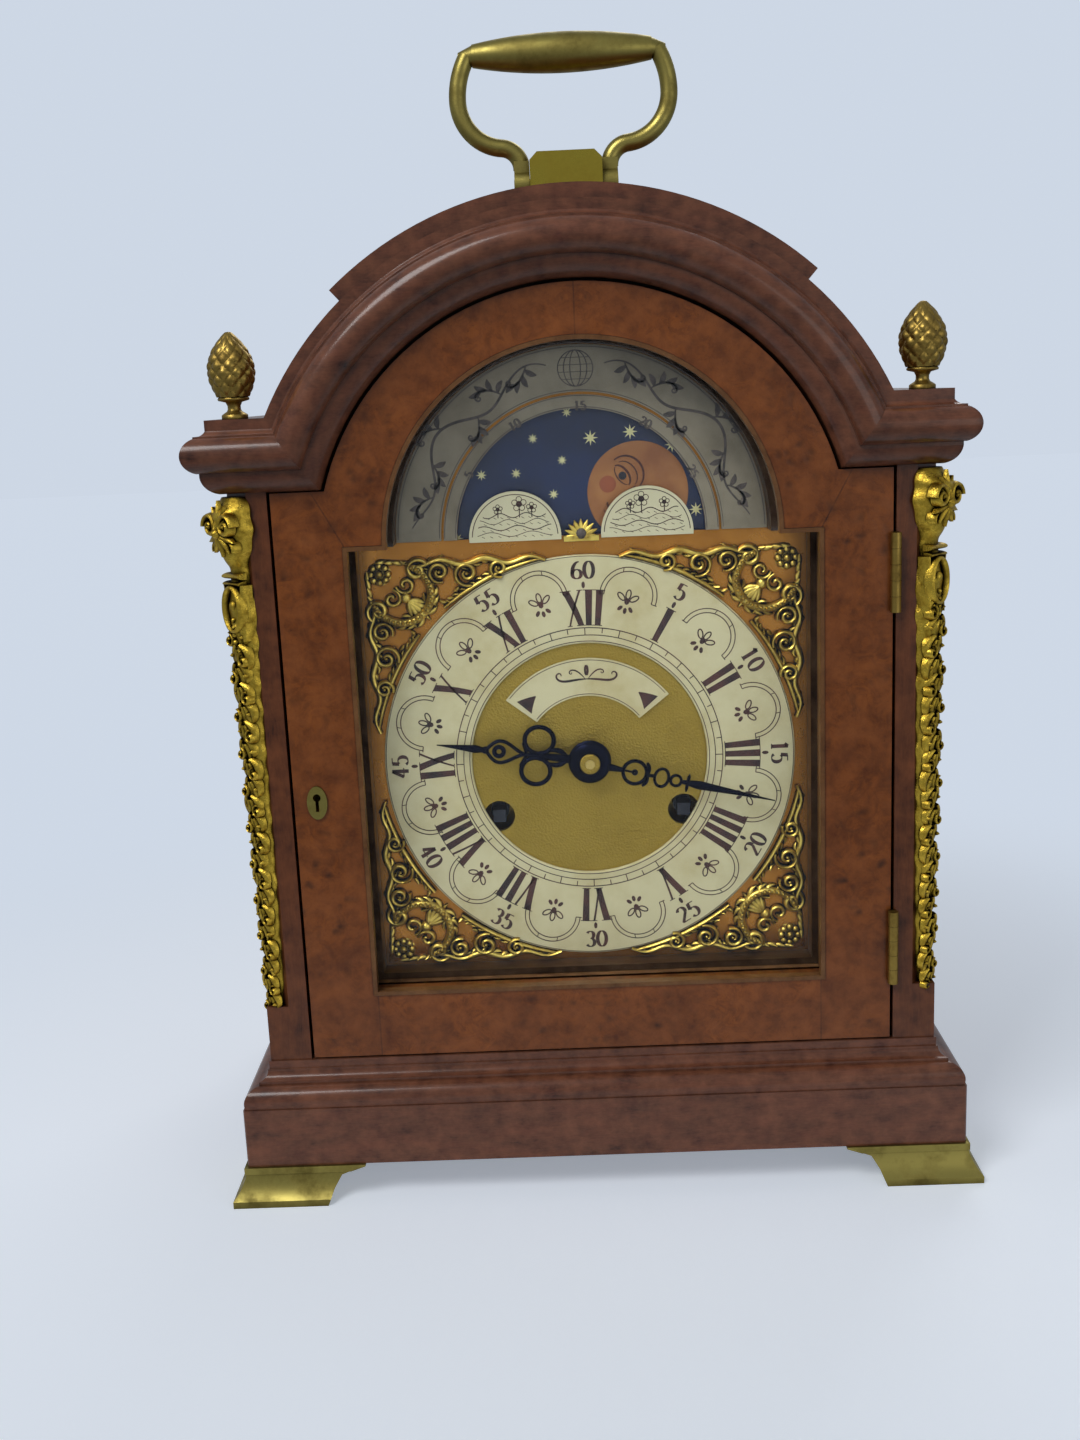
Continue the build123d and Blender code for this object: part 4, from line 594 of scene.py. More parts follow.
def side_of(path, closed=False):
    """The unit direction to the left of a path: the step to the next point, turned a quarter."""
    step = np.roll(path, -1, axis=0) - np.roll(path, 1, axis=0) if closed else np.gradient(path, axis=0)
    step = step / np.maximum(np.linalg.norm(step, axis=1, keepdims=True), 1e-9)
    return np.stack([-step[:, 1], step[:, 0]], axis=1)


def strip(left, right, front, thick, closed=False):
    """A flat strip between two edges: each row is a rectangle from front back by thick."""
    rows = [on_plane(left, front), on_plane(right, front), on_plane(right, front + thick),
            on_plane(left, front + thick)]
    return skin(np.stack(rows, axis=1), closed)


def ribbon(path, half, front, thick, closed=False):
    """A strip that lies half its width to each side of a path."""
    side = side_of(path, closed) * np.broadcast_to(half, len(path))[:, None]
    return strip(path + side, path - side, front, thick, closed)


wax_proud, wax_thick = 0.05, 0.1


def ink(path, half, face, closed=False):
    """A line of wax along a path, a little proud of the metal face that it fills."""
    return ribbon(path, half, face - wax_proud, wax_thick, closed)


def bead(path, half, height, base, columns=7, closed=False):
    """A rounded strip: each row is half an ellipse, half wide to each side and height proud of base."""
    turn = np.linspace(0, np.pi, columns)
    half = np.broadcast_to(half, len(path))[:, None, None]
    height = np.broadcast_to(height, len(path))[:, None]
    flat = path[:, None, :] + side_of(path, closed)[:, None, :] * half * np.cos(turn)[None, :, None]
    return skin(on_plane(flat, base - height * np.sin(turn)), closed)


def oval(centre, across, high, start=0.0, end=360.0, count=33):
    """Points on an ellipse from start to end, in degrees anticlockwise from the right."""
    turn = np.radians(np.linspace(start, end, count))
    return np.array(centre) + np.stack([across * np.cos(turn), high * np.sin(turn)], axis=1)


def hoop(centre, across, high=None, count=32):
    """A closed ellipse, without its first point again."""
    return oval(centre, across, across if high is None else high, 0, 360, count + 1)[:-1]


def line(first, last, count=2):
    """Points on a straight line."""
    return np.linspace(first, last, count)


dome_end = 1.45


def dome(centre, radius, height, base, sides=10, rings=4):
    """A round pearl: rings shrink as a cosine while they rise as a sine, almost to a quarter turn."""
    turn = np.linspace(0, dome_end, rings)
    shrink = (radius * np.cos(turn))[:, None, None]
    flat = np.array(centre) + hoop((0, 0), 1.0, count=sides)[None] * shrink
    return skin(on_plane(flat, base - height * np.sin(turn)[:, None]))


def scroll(start, aim, length, bend, curl=0.0, curl_start=0.0, count=40):
    """A scroll drawn by its heading in degrees: it turns evenly by bend, by curl more towards its end
    and by curl_start more towards its start. The points are the running sum of equal steps."""
    along = np.linspace(0, 1, count)
    angle = np.radians(aim + bend * along + curl * along ** 5 + curl_start * (1 - along) ** 5)
    steps = np.stack([np.cos(angle), np.sin(angle)], axis=1) * length / (count - 1)
    return np.array(start) + np.cumsum(steps, axis=0) - steps[0]


def leaf(root, aim, length, width, bend, base, height=1.0, count=10):
    """A curved leaf: a bead whose width swells and dies as a sine and whose height falls to its tip."""
    along = np.linspace(0, 1, count)
    half = width * np.sin(np.pi * (0.15 + 0.83 * along)) + 0.06
    return bead(scroll(root, aim, length, bend, count=count), half, height * (1.0 - 0.6 * along), base)


def tapered(path, half, tip=0.12):
    """Half widths along a scroll that swell in the middle and thin to the ends."""
    return half * (tip + (1 - tip) * np.sin(np.pi * np.linspace(0.06, 0.94, len(path))) ** 0.7)


print("a pearl has", len(dome((0, 0), 1.0, 1.0, 0.0)[0]), "points")

# %% [markdown]
# The numerals are cut with a graver and filled with wax. Hours are Roman, with thick and thin
# strokes and feet towards the centre; minutes are Arabic. A pen with a broad nib gives the same
# thick and thin: the steeper the stroke, the wider it is. Numerals are drawn upright in their own
# square and then carried round the ring.

# %% Numeral strokes
hair, swell, drawn_height = 0.16, 0.48, 6.0
figure_gap = 0.72
serif_reach, serif_half = 0.55, 0.12
digit_paths = {
    "0": [oval((0, 0.5), 0.27, 0.5)],
    "1": [line((0, 0), (0, 1), 6), line((-0.16, 0.8), (0, 1), 4), line((-0.16, 0.0), (0.16, 0.0), 3)],
    "2": [oval((0, 0.72), 0.24, 0.28, 165, -20, 16), line((0.22, 0.62), (-0.24, 0.03), 8),
          line((-0.26, 0.03), (0.28, 0.03), 4)],
    "3": [oval((0, 0.76), 0.21, 0.24, 150, -90, 16), oval((0, 0.27), 0.25, 0.27, 90, -150, 18)],
    "4": [line((0.08, 1.0), (-0.28, 0.3), 6), line((-0.28, 0.3), (0.28, 0.3), 4),
          line((0.08, 0), (0.08, 1), 6)],
    "5": [line((-0.16, 0.97), (0.2, 0.97), 4), line((-0.15, 0.97), (-0.19, 0.56), 4),
          oval((0, 0.31), 0.26, 0.31, 130, -145, 20)],
    "6": [oval((0.14, 0.34), 0.40, 0.66, 88, 185, 14), oval((0, 0.27), 0.26, 0.27)]}
# Each Roman letter has its width and its strokes, as top, foot and half width across the letter.
roman_letters = {
    "I": (3.1, [(0.0, 0.0, 1.0)]),
    "V": (5.6, [(-1.9, 0.0, 1.0), (1.9, 0.0, 0.3)]),
    "X": (6.0, [(-2.0, 2.0, 1.0), (2.0, -2.0, 0.3)])}


def turned(points, degrees, centre):
    """Drawing points (across, up) turned clockwise about a centre that their own origin sits on."""
    angle = np.radians(degrees)
    right_hand = np.array([np.cos(angle), -np.sin(angle)])
    outward = np.array([np.sin(angle), np.cos(angle)])
    return np.array(centre) + points[..., :1] * right_hand + points[..., 1:] * outward


def fanned(points, degrees, centre, middle):
    """Drawing points bent round a centre: across is measured along the circle of the middle radius."""
    angle = np.radians(degrees) + points[..., 0] / middle
    return np.array(centre) + points[..., 1:] * np.stack([np.sin(angle), np.cos(angle)], axis=-1)


def number(text, height, place, face):
    """Arabic figures as nib strokes, centred on their own origin; place carries them to the dial."""
    shapes = []
    for position, figure in enumerate(text):
        shift = np.array([(position - (len(text) - 1) / 2) * figure_gap, -0.5])
        for path in digit_paths[figure]:
            path = (path + shift) * height
            steepness = np.abs(side_of(path)[:, 0])
            shapes.append(ink(place(path), hair + swell * steepness ** 1.5 * height / drawn_height, face))
    return shapes


def roman(text, low, high, place, face):
    """Roman figures: each stroke runs from its foot to its top, cut level at both ends, with serifs."""
    widths = [roman_letters[letter][0] for letter in text]
    starts = np.cumsum([0.0] + widths[:-1]) - sum(widths) / 2
    shapes = []
    for letter, width, start in zip(text, widths, starts):
        for top, foot, half in roman_letters[letter][1]:
            stroke = line((start + width / 2 + foot, low), (start + width / 2 + top, high), 6)
            edge = np.array([half, 0.0])
            shapes.append(strip(place(stroke - edge), place(stroke + edge), face - wax_proud, wax_thick))
            reach = (half + serif_reach, 0)
            for end in (stroke[0], stroke[-1]):
                shapes.append(ink(place(line(end - reach, end + reach, 4)), serif_half, face))
    return shapes


print("figures drawn:", len(digit_paths), "Arabic,", len(roman_letters), "Roman letters")

# %% [markdown]
# The chapter ring has four bands: minute figures outside, then twelve arcades of two lines with
# the minutes marked across them, then the hours with a small flower at each half hour, and two
# circles inside with the quarter hours. Every band repeats twelve times, so a loop draws it.

# %% Chapter ring engraving
dial_middle = (0.0, dial_centre)
ring_face = -39.6
figure_radius, figure_height = 60.2, 5.2
hour_low, hour_high, hour_middle = 43.0, 54.0, 48.5
arcade_radius, arcade_size, arcade_gap = 53.4, 8.9, 1.3
minute_low = arcade_radius + arcade_size - arcade_gap - 0.75
minute_high = arcade_radius + arcade_size - 0.55
flower_radius = 51.2
quarter_top, quarter_long, quarter_short = 42.1, 2.2, 1.5
ring_circles = ((42.2, 0.15), (39.9, 0.13), (38.0, 0.12), (64.5, 0.1))
hours = ["XII", "I", "II", "III", "IIII", "V", "VI", "VII", "VIII", "IX", "X", "XI"]
ring_ink = []


def arcade(size):
    """A round arch of the arcade, springing from a little below its centre."""
    return oval((0, arcade_radius), size, size, -8, 188, 30)


def engraved(path, angle, half, closed=False):
    """Adds a line of the chapter ring, drawn at twelve o'clock and turned clockwise to its place."""
    ring_ink.append(ink(turned(path, angle, dial_middle), half, ring_face, closed))


def half_hour_flower(angle):
    """Three outlined petals above a dark heart and three drops below it."""
    petals = [(turned(hoop((0, 2.6), 0.75, 1.5, 14), aim, (0, 0)), 0.2) for aim in (-52, 0, 52)]
    drops = [(turned(hoop((0, 2.6), 0.3, 0.75, 8), aim, (0, 0)), 0.28) for aim in (140, 180, 220)]
    spot = turned(np.array([0.0, flower_radius]), angle, dial_middle)
    return [ink(turned(path, angle, spot), half, ring_face, closed=True)
            for path, half in petals + drops + [(hoop((0, 0.4), 0.42, 0.7, 8), 0.4)]]


for hour in range(12):
    angle = 30.0 * hour
    half_hour = angle + 15.0
    minute = str(5 * hour or 60)
    flip = 180.0 if 90 < angle < 270 else 0.0
    spot = turned(np.array([0.0, figure_radius]), angle, dial_middle)
    ring_ink += number(minute, figure_height, lambda p: turned(p, angle + flip, spot), ring_face)
    ring_ink += roman(hours[hour], hour_low, hour_high,
                      lambda p: fanned(p, angle, dial_middle, hour_middle), ring_face)
    for size in (arcade_size, arcade_size - arcade_gap):
        engraved(arcade(size), half_hour, 0.15)
    for end in (0, -1):
        foot = line(arcade(arcade_size - arcade_gap)[end], arcade(arcade_size + 0.5)[end], 3)
        engraved(foot, half_hour, 0.14)
    for tick in (-3.0, 3.0):
        engraved(line((0, minute_low), (0, minute_high)), half_hour + tick, 0.12)
    ring_ink += half_hour_flower(half_hour)
    for quarter in (0.0, 7.5, 15.0, 22.5):
        mark = quarter_long if quarter % 15 == 0.0 else quarter_short
        engraved(line((0, quarter_top), (0, quarter_top - mark)), angle + quarter, 0.14)
    engraved(hoop((0, 55.6), 0.28, 0.85, 8), angle, 0.26, closed=True)
for radius, half in ring_circles:
    ring_ink.append(ink(hoop(dial_middle, radius, count=180), half, ring_face, closed=True))
mesh_piece("chapter_engraving", ring_ink, dial_wax, "case")

# %% [markdown]
# The silvered plate in the matted centre is bare in the middle apart from a plain flourish: two
# long scrolls that start together and part, a shorter one on each, a leaf between them, and a
# dark wedge at each end.

# %% Cartouche engraving
trim_face = -39.1
flourish_radius = 26.5
border_radii = (21.1, 31.9)
flourish = []


def on_cartouche(points):
    """Drawing points bent round the dial: up is the radius, and across is true at flourish_radius."""
    return fanned(points, 0, dial_middle, flourish_radius)


for side in (-1, 1):
    for vine, half in ((scroll((0.0, -0.6), 0, 13.0, 0, 300), 0.36),
                       (scroll((0.6, -0.4), 55, 7.5, -20, -330, count=30), 0.22)):
        vine = vine * (side, 1)
        flourish.append(ink(on_cartouche(vine + (0, flourish_radius)), tapered(vine, half), trim_face))
    wedge = line((side * 22.6, flourish_radius), (side * 17.4, flourish_radius), 14)
    flourish.append(ink(on_cartouche(wedge), np.linspace(3.0, 0.12, 14), trim_face))
    for radius in border_radii:
        border = oval((0, 0), radius, radius, 90 - side * 50, 90, 40) + dial_middle
        flourish.append(ink(border, 0.1, trim_face))
bud = turned(hoop((0, flourish_radius + 2.2), 0.4, 1.5, 10), 0, dial_middle)
flourish.append(ink(bud, 0.35, trim_face, closed=True))
mesh_piece("cartouche_engraving", flourish, dial_wax, "case")

# %% [markdown]
# The arch holds a silvered crescent, the ring of lunar days and the two humps that the moon hides
# behind. It carries light engraving: a small globe at the top, a leafy wave down each side, and
# every fifth day of the moon on the ring. All of it is plain ornament.

# %% Arch engraving
arch_middle = (0.0, arch_height)
arch_circles = ((43.6, 0.1), (56.3, 0.12), (42.0, 0.1), (38.6, 0.12))
moon_days, day_radius, day_height = 29.5, 39.0, 2.6
stem_radius, globe_size = 50.0, 5.3
globe_up = arch_middle[1] + stem_radius
arch_ink = []


def on_arch(points, side):
    """Drawing points, up from the stem's circle, bent round the arch to the right or to the left."""
    return fanned(points * (side, 1) + (0, stem_radius), 0, arch_middle, stem_radius)


for radius, half in arch_circles:
    arch_ink.append(ink(oval(arch_middle, radius, radius, 1.0, 179.0, 120), half, trim_face))
for day in (5, 10, 15, 20, 25):
    angle = day / moon_days * 180 - 90
    spot = turned(np.array([0.0, day_radius]), angle, arch_middle)
    arch_ink += number(str(day), day_height, lambda p: turned(p, angle, spot), trim_face)
for bulge in (1.0, 0.66, 0.3):
    meridian = hoop((0.0, globe_up), globe_size * bulge, globe_size, 40)
    arch_ink.append(ink(meridian, 0.14, trim_face, closed=True))
for share in (-0.6, -0.2, 0.2, 0.6):
    half_chord = globe_size * np.sqrt(1 - share ** 2)
    level = globe_up + share * globe_size
    arch_ink.append(ink(line((-half_chord, level), (half_chord, level), 3), 0.08, trim_face))
along = np.linspace(0, 1, 120)
stem = np.stack([8.5 + 66.0 * along, 3.4 * np.sin(along * 4 * np.pi + 0.6)], axis=1)
for side in (-1, 1):
    arch_ink.append(ink(on_arch(stem, side), tapered(stem, 0.42), trim_face))
    for knot in range(6):
        facing = 1 if knot % 2 else -1
        curl = scroll(stem[10 + 18 * knot], facing * 60, 13.0, facing * -60, facing * -420, 0, 46)
        arch_ink.append(ink(on_arch(curl, side), tapered(curl, 0.36), trim_face))
        for twig in range(4):
            blade = scroll(curl[4 + 6 * twig], facing * (110 - 42 * twig), 4.0, facing * 50, count=10)
            swelling = 0.8 * np.sin(np.pi * np.linspace(0.05, 0.97, 10)) + 0.05
            arch_ink.append(ink(on_arch(blade, side), swelling, trim_face))
mesh_piece("arch_engraving", arch_ink, grey_wax, "case")

# %% [markdown]
# Each hump is a half-round of silver with a border line. It has four rolling ridges, shaded by
# short strokes, and three round trees on the top ones.

# %% Hump engraving
hump_border, hump_margin = 13.2, 1.6
ridge_first, ridge_step = 1.2, 1.9
tree_foot = 6.2
hump_ink = []
for side in (-1, 1):
    middle = np.array([side * hump_across, arch_height])
    hump_ink.append(ink(oval(middle, hump_border, hump_border, 3, 177, 50), 0.14, trim_face))
    for ridge in range(4):
        level = ridge_first + ridge_step * ridge
        reach = np.sqrt(hump_border ** 2 - level ** 2) - hump_margin
        across = np.linspace(-reach, reach, 40)
        up = level + 0.7 * np.sin(across * (0.5 + 0.1 * ridge) + ridge * 2 + side)
        path = middle + np.stack([across, up], axis=1)
        hump_ink.append(ink(path, 0.1 + 0.04 * (ridge % 2), trim_face))
        for stroke in range(9):
            start = middle + (-reach + (stroke + 0.5) * reach / 4.5, level - 0.5)
            hump_ink.append(ink(line(start, start + (0.9, -0.5), 3), 0.08, trim_face))
    for shift, size in ((-5.0, 1.1), (-1.6 * side, 1.7), (5.4, 1.2)):
        foot = middle + (shift, tree_foot)
        hump_ink.append(ink(line(foot, foot + (0, 2.2 * size), 3), 0.16, trim_face))
        for puff in range(5):
            lump = foot + turned(np.array([0.0, 0.85 * size]), 72 * puff, (0, 2.4 * size))
            hump_ink.append(ink(hoop(lump, 0.5 * size, count=10), 0.12, trim_face, closed=True))
        crown = hoop(foot + (0, 2.4 * size), 0.3 * size, count=8)
        hump_ink.append(ink(crown, 0.28 * size, trim_face, closed=True))
mesh_piece("hump_engraving", hump_ink, dial_wax, "case")

# %% [markdown]
# Behind the arch a blue disc turns once in two lunar months. It carries two moons opposite each
# other, so that one sets behind a hump as the other rises, and a scatter of gold stars.
# The moons have simple painted faces with soft red cheeks. Stars fall on a sunflower spiral,
# which looks unplanned: each one is a golden turn on from the one before.

# %% Moon disc
sky_face, sky_radius, sky_hub = -35.6, 43.0, 6
moon_at = np.array([17.9, 12.2])
moon_size, moon_clear = 15.5, 1.4
moon_tilt = np.degrees(np.arctan2(moon_at[0], moon_at[1]))
star_count, star_size, star_points = 46, 2.0, 8
star_waist, star_peak = 0.36, 0.12
golden_turn = 137.508
moon_spots = [np.array(arch_middle) + moon_at, np.array(arch_middle) - moon_at]
stars, moons, face_lines, face_whites, face_darks, blush = [], [], [], [], [], []
for seed in range(star_count):
    radius = sky_radius * np.sqrt((seed + 0.5) / star_count)
    spot = turned(np.array([0.0, radius]), seed * golden_turn, arch_middle)
    nearest = min(np.linalg.norm(spot - moon) for moon in moon_spots)
    if radius < sky_hub or nearest < moon_size + moon_clear:
        continue
    waist = np.where(np.arange(2 * star_points) % 2, star_waist, 1.0)[:, None]
    rim = hoop((0, 0), 1.0, count=2 * star_points) * waist * (star_size * (0.8 + 0.4 * (seed * 0.618 % 1)))
    rows = [on_plane(spot + rim, sky_face + 0.02), on_plane(spot + rim, sky_face - 0.04),
            on_plane(spot + rim * star_peak, sky_face - 0.14)]
    stars.append(skin(np.stack(rows)))

# Each stroke of the face is a path, drawn upright about the moon's middle, and its half width.
face_strokes = []
for side in (-1, 1):
    face_strokes += [(oval((side * 6.6, 0.4), 5.6, 5.2, 90 + side * 84, 90 - side * 96, 24), 0.34),
                     (oval((side * 6.6, 0.0), 4.3, 3.4, 90 + side * 80, 90 - side * 80, 20), 0.2),
                     (oval((side * 7.0, -1.2), 3.6, 2.2, 176, 4, 18), 0.36),
                     (oval((side * 7.0, -0.9), 3.3, 1.6, 190, 350, 16), 0.2)]
face_strokes += [(scroll((-1.9, 0.6), 262, 7.4, 10, 110, 0, 20), 0.26),
                 (oval((0.0, -6.2), 1.7, 0.9, 200, 340, 12), 0.24),
                 (oval((0.0, -8.8), 3.4, 1.3, 205, 335, 14), 0.4),
                 (oval((0.0, -11.0), 2.2, 0.8, 215, 325, 12), 0.2)]
moon_rings = np.array([1.0, 1.0, 0.985, 0.9, 0.6, 0.25])
moon_heights = np.array([0.0, 0.12, 0.2, 0.26, 0.32, 0.34])
for spot, way in zip(moon_spots, (0, 180)):
    def on_moon(points, spot=spot, way=way):
        return turned(points, moon_tilt + way, spot)
    flat = spot + hoop((0, 0), moon_size, count=64)[None] * moon_rings[:, None, None]
    moons.append(skin(on_plane(flat, sky_face + 0.02 - moon_heights[:, None])))
    for path, half in face_strokes:
        face_lines.append(ribbon(on_moon(path), tapered(path, half, 0.3), sky_face - 0.42, 0.4))
    for side in (-1, 1):
        eye = on_moon(np.array([side * 7.0, 0.0]) + hoop((0, -1.0), 2.7, 1.35, 20))
        inner = eye * 0.02 + eye.mean(axis=0) * 0.98
        # A fault that is left: strip stands its points up itself, so these come to lie at height 0.
        face_whites.append(strip(on_plane(eye, 0), on_plane(inner, 0), sky_face - 0.4, 0.2, True))
        face_darks.append(dome(on_moon(np.array([side * 6.8, -0.9])), 1.25, 0.12, sky_face - 0.42, 16))
        blush.append(dome(on_moon(np.array([side * 7.4, -6.0])), 2.6, 0.08, sky_face - 0.3, 24))
mesh_piece("gold_stars", stars, gold_leaf, "moon", sharp=20)
for name, shapes, material in (
        ("painted_moons", moons, moon_flesh), ("moon_features", face_lines, moon_line),
        ("moon_eye_whites", face_whites, moon_white), ("moon_blushes", blush, moon_blush),
        ("moon_pupils", face_darks, moon_dark)):
    mesh_piece(name, shapes, material, "moon")

# %% [markdown]
# A scalloped gilt shell covers the place where the two humps meet. Its flutes are nine leaves
# that open from one point, over a straight bar and round a dark boss.

# %% Shell between the humps
plate_face = -38.5
shell_at = np.array([0.0, arch_height - 0.4])
shell_reach = 5.4
shell = [leaf(shell_at, aim, shell_reach, 0.95, 0, plate_face, 1.1) for aim in np.linspace(0, 180, 9)]
bar = line(shell_at - (shell_reach, 0.6), shell_at + (shell_reach, -0.6), 3)
shell.append(ribbon(bar, 0.8, plate_face - 0.7, 0.75))
mesh_piece("hump_shell", shell, gilt_brass, "case")
boss = dome(shell_at + (0, 0.9), 1.9, 1.5, plate_face, 24, 6)
mesh_piece("hump_boss", [boss], grey_wax, "case")

# %% [markdown]
# Four gilt castings fill the corners outside the chapter ring. Each is a web of scrolls and leaves:
# a wavy stem follows the outer edge and a rib follows the ring, both with leaves, and volutes lie
# between them. A beaded C-scroll crosses near the corner, and a flower sits in the corner itself.
# One half is drawn and mirrored on the diagonal, and the corner is mirrored into the other three.

# %% Casting helpers
spandrel_base = plate_face
spandrel_shrink = 0.975
spandrel_edge = 68.4


def leafy(path, width, first, last, count, side, length, base, height):
    """Leaves along one side of a path, each leaning forward and shorter than the one before."""
    shapes = []
    toward = side_of(path)
    for step, place in enumerate(np.linspace(first, last, count)):
        spot = int(place * (len(path) - 1))
        normal = toward[spot] * side
        aim = np.degrees(np.arctan2(normal[1], normal[0])) - side * 38
        size = length * (1 - 0.45 * step / count)
        shapes.append(leaf(path[spot] + normal * 0.3, aim, size, width, side * -60, base, height))
    return shapes


def corner_spot(down, inward):
    """A place given by its distances from the two edges that meet in the corner."""
    return np.stack([spandrel_edge - np.asarray(inward, float),
                     spandrel_edge - np.asarray(down, float)], axis=-1)


def coil(centre, outer, inner, start, sweep, count=36):
    """A volute: the radius shrinks evenly from outer to inner while the angle sweeps, in degrees."""
    along = np.linspace(0, 1, count)
    angle = np.radians(start + sweep * along)
    radius = outer + (inner - outer) * along
    return np.array(centre) + radius[:, None] * np.stack([np.cos(angle), np.sin(angle)], axis=1)


def mirrored(shapes, matrix):
    """The shapes with x and z carried through a two by two matrix."""
    made = []
    for points, blocks in shapes:
        flat = points[:, [0, 2]] @ np.array(matrix, float).T
        made.append((np.stack([flat[:, 0], points[:, 1], flat[:, 1]], axis=1), blocks))
    return made


def flower(centre, radius, base, petals=8):
    """A flower: domed petals round a pearl, on a low round plate."""
    spots = hoop(centre, radius * 0.7, count=petals)
    parts = [dome(spot, radius * 0.34, 1.5, base, 10, 4) for spot in spots]
    return parts + [dome(centre, radius, 0.7, base, 24, 3), dome(centre, radius * 0.36, 2.1, base, 14, 5)]


print("a flower has", len(flower((0, 0), 1.0, 0.0)), "domes")

# %% Spandrels


def spandrel_half():
    """The half of a corner below the diagonal, measured from the middle of the dial."""
    base = spandrel_base
    down = np.linspace(14.0, 57.0, 70)
    stem = corner_spot(down, 2.4 + 0.9 * np.sin(down * 0.45))
    parts = [bead(stem, tapered(stem, 1.25, 0.35), 2.1, base, 9)]
    parts += leafy(stem, 0.85, 0.04, 0.9, 13, -1, 4.8, base, 1.8)
    parts += leafy(stem, 0.55, 0.08, 0.9, 11, 1, 2.4, base, 1.6)
    rib = oval((0, 0), 67.3, 67.3, 11, 40, 50)
    parts += [bead(rib, tapered(rib, 0.95, 0.4), 1.9, base, 9)]
    parts += leafy(rib, 0.7, 0.2, 0.92, 9, -1, 4.2, base, 1.7)
    for place, size in ((32.5, 4.1), (42.5, 2.9), (24.0, 3.4)):
        centre = corner_spot(place, 2.0 + size)
        volute = coil(centre, size, 0.7, 200, -520, 44)
        parts += [bead(volute, tapered(volute, 0.95, 0.5), 2.3, base, 9), dome(centre, 1.0, 2.3, base, 12, 4)]
    parts += leafy(coil(corner_spot(24.0, 9.0), 5.4, 4.6, 120, 150, 24), 0.8, 0.0, 1.0, 6, -1, 3.8, base, 1.9)
    arm = coil(corner_spot(12.0, 12.0), 9.2, 9.2, 225, 112, 36)
    parts += [bead(arm, 1.55, 2.3, base, 11)]
    parts += [dome(spot, 1.05, 3.0, base, 10, 4) for spot in arm[2::3]]
    centre = corner_spot(17.2, 4.4)
    volute = coil(centre, 3.6, 0.6, 300, 470, 40)
    parts += [bead(volute, tapered(volute, 1.2, 0.6), 2.3, base, 9), dome(centre, 1.2, 2.6, base, 12, 4)]
    parts += leafy(arm, 1.0, 0.05, 0.85, 6, -1, 4.6, base, 1.9)
    inside = coil(corner_spot(13.4, 9.0), 3.0, 0.6, 100, 420, 34)
    parts += [bead(inside, tapered(inside, 0.9, 0.5), 1.9, base, 9)]
    parts += [leaf(corner_spot(4.5 + 2.6 * step, 1.6), 262 - 8 * step, 4.2, 0.95, 26, base, 1.7)
              for step in range(4)]
    return parts


half_corner = spandrel_half()
corner_casting = half_corner + mirrored(half_corner, [[0, 1], [1, 0]])
corner_casting += flower(corner_spot(5.4, 5.4), 3.8, spandrel_base)
for aim, length in ((190, 6.0), (207, 8.0), (225, 9.5), (243, 8.0), (260, 6.0)):
    corner_casting.append(leaf(corner_spot(14.0, 14.0), aim, length, 1.35, 0, spandrel_base, 2.0, 14))
corner_casting.append(dome(corner_spot(13.2, 13.2), 2.1, 2.5, spandrel_base, 16, 5))
castings = []
for across in (-1, 1):
    for upward in (-1, 1):
        for points, blocks in mirrored(corner_casting, [[across, 0], [0, upward * spandrel_shrink]]):
            castings.append((points + (0, 0, dial_centre), blocks))
mesh_piece("spandrel_castings", castings, gilt_brass, "case", ["spandrels"])

# %% [markdown]
# The hands are pierced from steel, filed round on top and blued. The hour hand has two large loops
# side by side and a leaf-shaped point; the minute hand has a chain of smaller loops and a long
# slender point. Each is drawn pointing up and then turned to its place on the dial.

# %% Hands
hand_thick = 0.8
hour_angle, hour_back = 278.65, -42.2
minute_angle, minute_back = 104.0, -44.8


def hand_shapes(parts, degrees, back):
    """Beads along paths drawn pointing up, turned clockwise about the middle of the dial."""
    return [bead(turned(path, degrees, dial_middle), half, hand_thick, back, 7, closed)
            for path, half, closed in parts]


def pointer(low, high, count, swelling, waist, belly):
    """The point of a hand: it widens from a waist to its belly and then thins to the tip."""
    half = np.interp(np.linspace(0, 1, count), [0, swelling, 1], [waist, belly, 0.12])
    return line((0, low), (0, high), count), half, False


# Each part of a hand is a path, its half width, and whether it closes.
hour_parts = [(hoop((0, 0), 5.2, count=48), 1.6, True),
              (line((0, 6.2), (0, 21.0), 12), np.linspace(1.5, 0.7, 12), False),
              (hoop((0, 15.6), 0.8, count=14), 0.9, True), (hoop((0, 28.8), 1.5, count=20), 0.75, True)]
for side in (-1, 1):
    low_horn = scroll((side * 0.8, 7.4), 90 - side * 50, 6.0, side * 70, count=16)
    high_horn = scroll((side * 0.4, 20.4), 90 - side * 100, 3.8, side * 60, count=14)
    along = np.linspace(0, 1, 26)
    tear = np.stack([side * 3.5 * np.sin(np.pi * along ** 1.5), 20.4 + 12.6 * along], axis=1)
    hour_parts += [(hoop((side * 5.0, 16.6), 4.3, 4.6, 36), 0.75, True),
                   (low_horn, tapered(low_horn, 0.85, 0.3), False),
                   (high_horn, tapered(high_horn, 0.8, 0.3), False), (tear, 0.6, False)]
hour_parts += [(hoop((0, 33.2), 0.5, count=12), 0.75, True), pointer(33.4, 48.5, 16, 0.18, 0.7, 1.35)]
mesh_piece("pierced_hour_hand", hand_shapes(hour_parts, hour_angle, hour_back), blued_steel, "hour",
           ["hour_hand"])

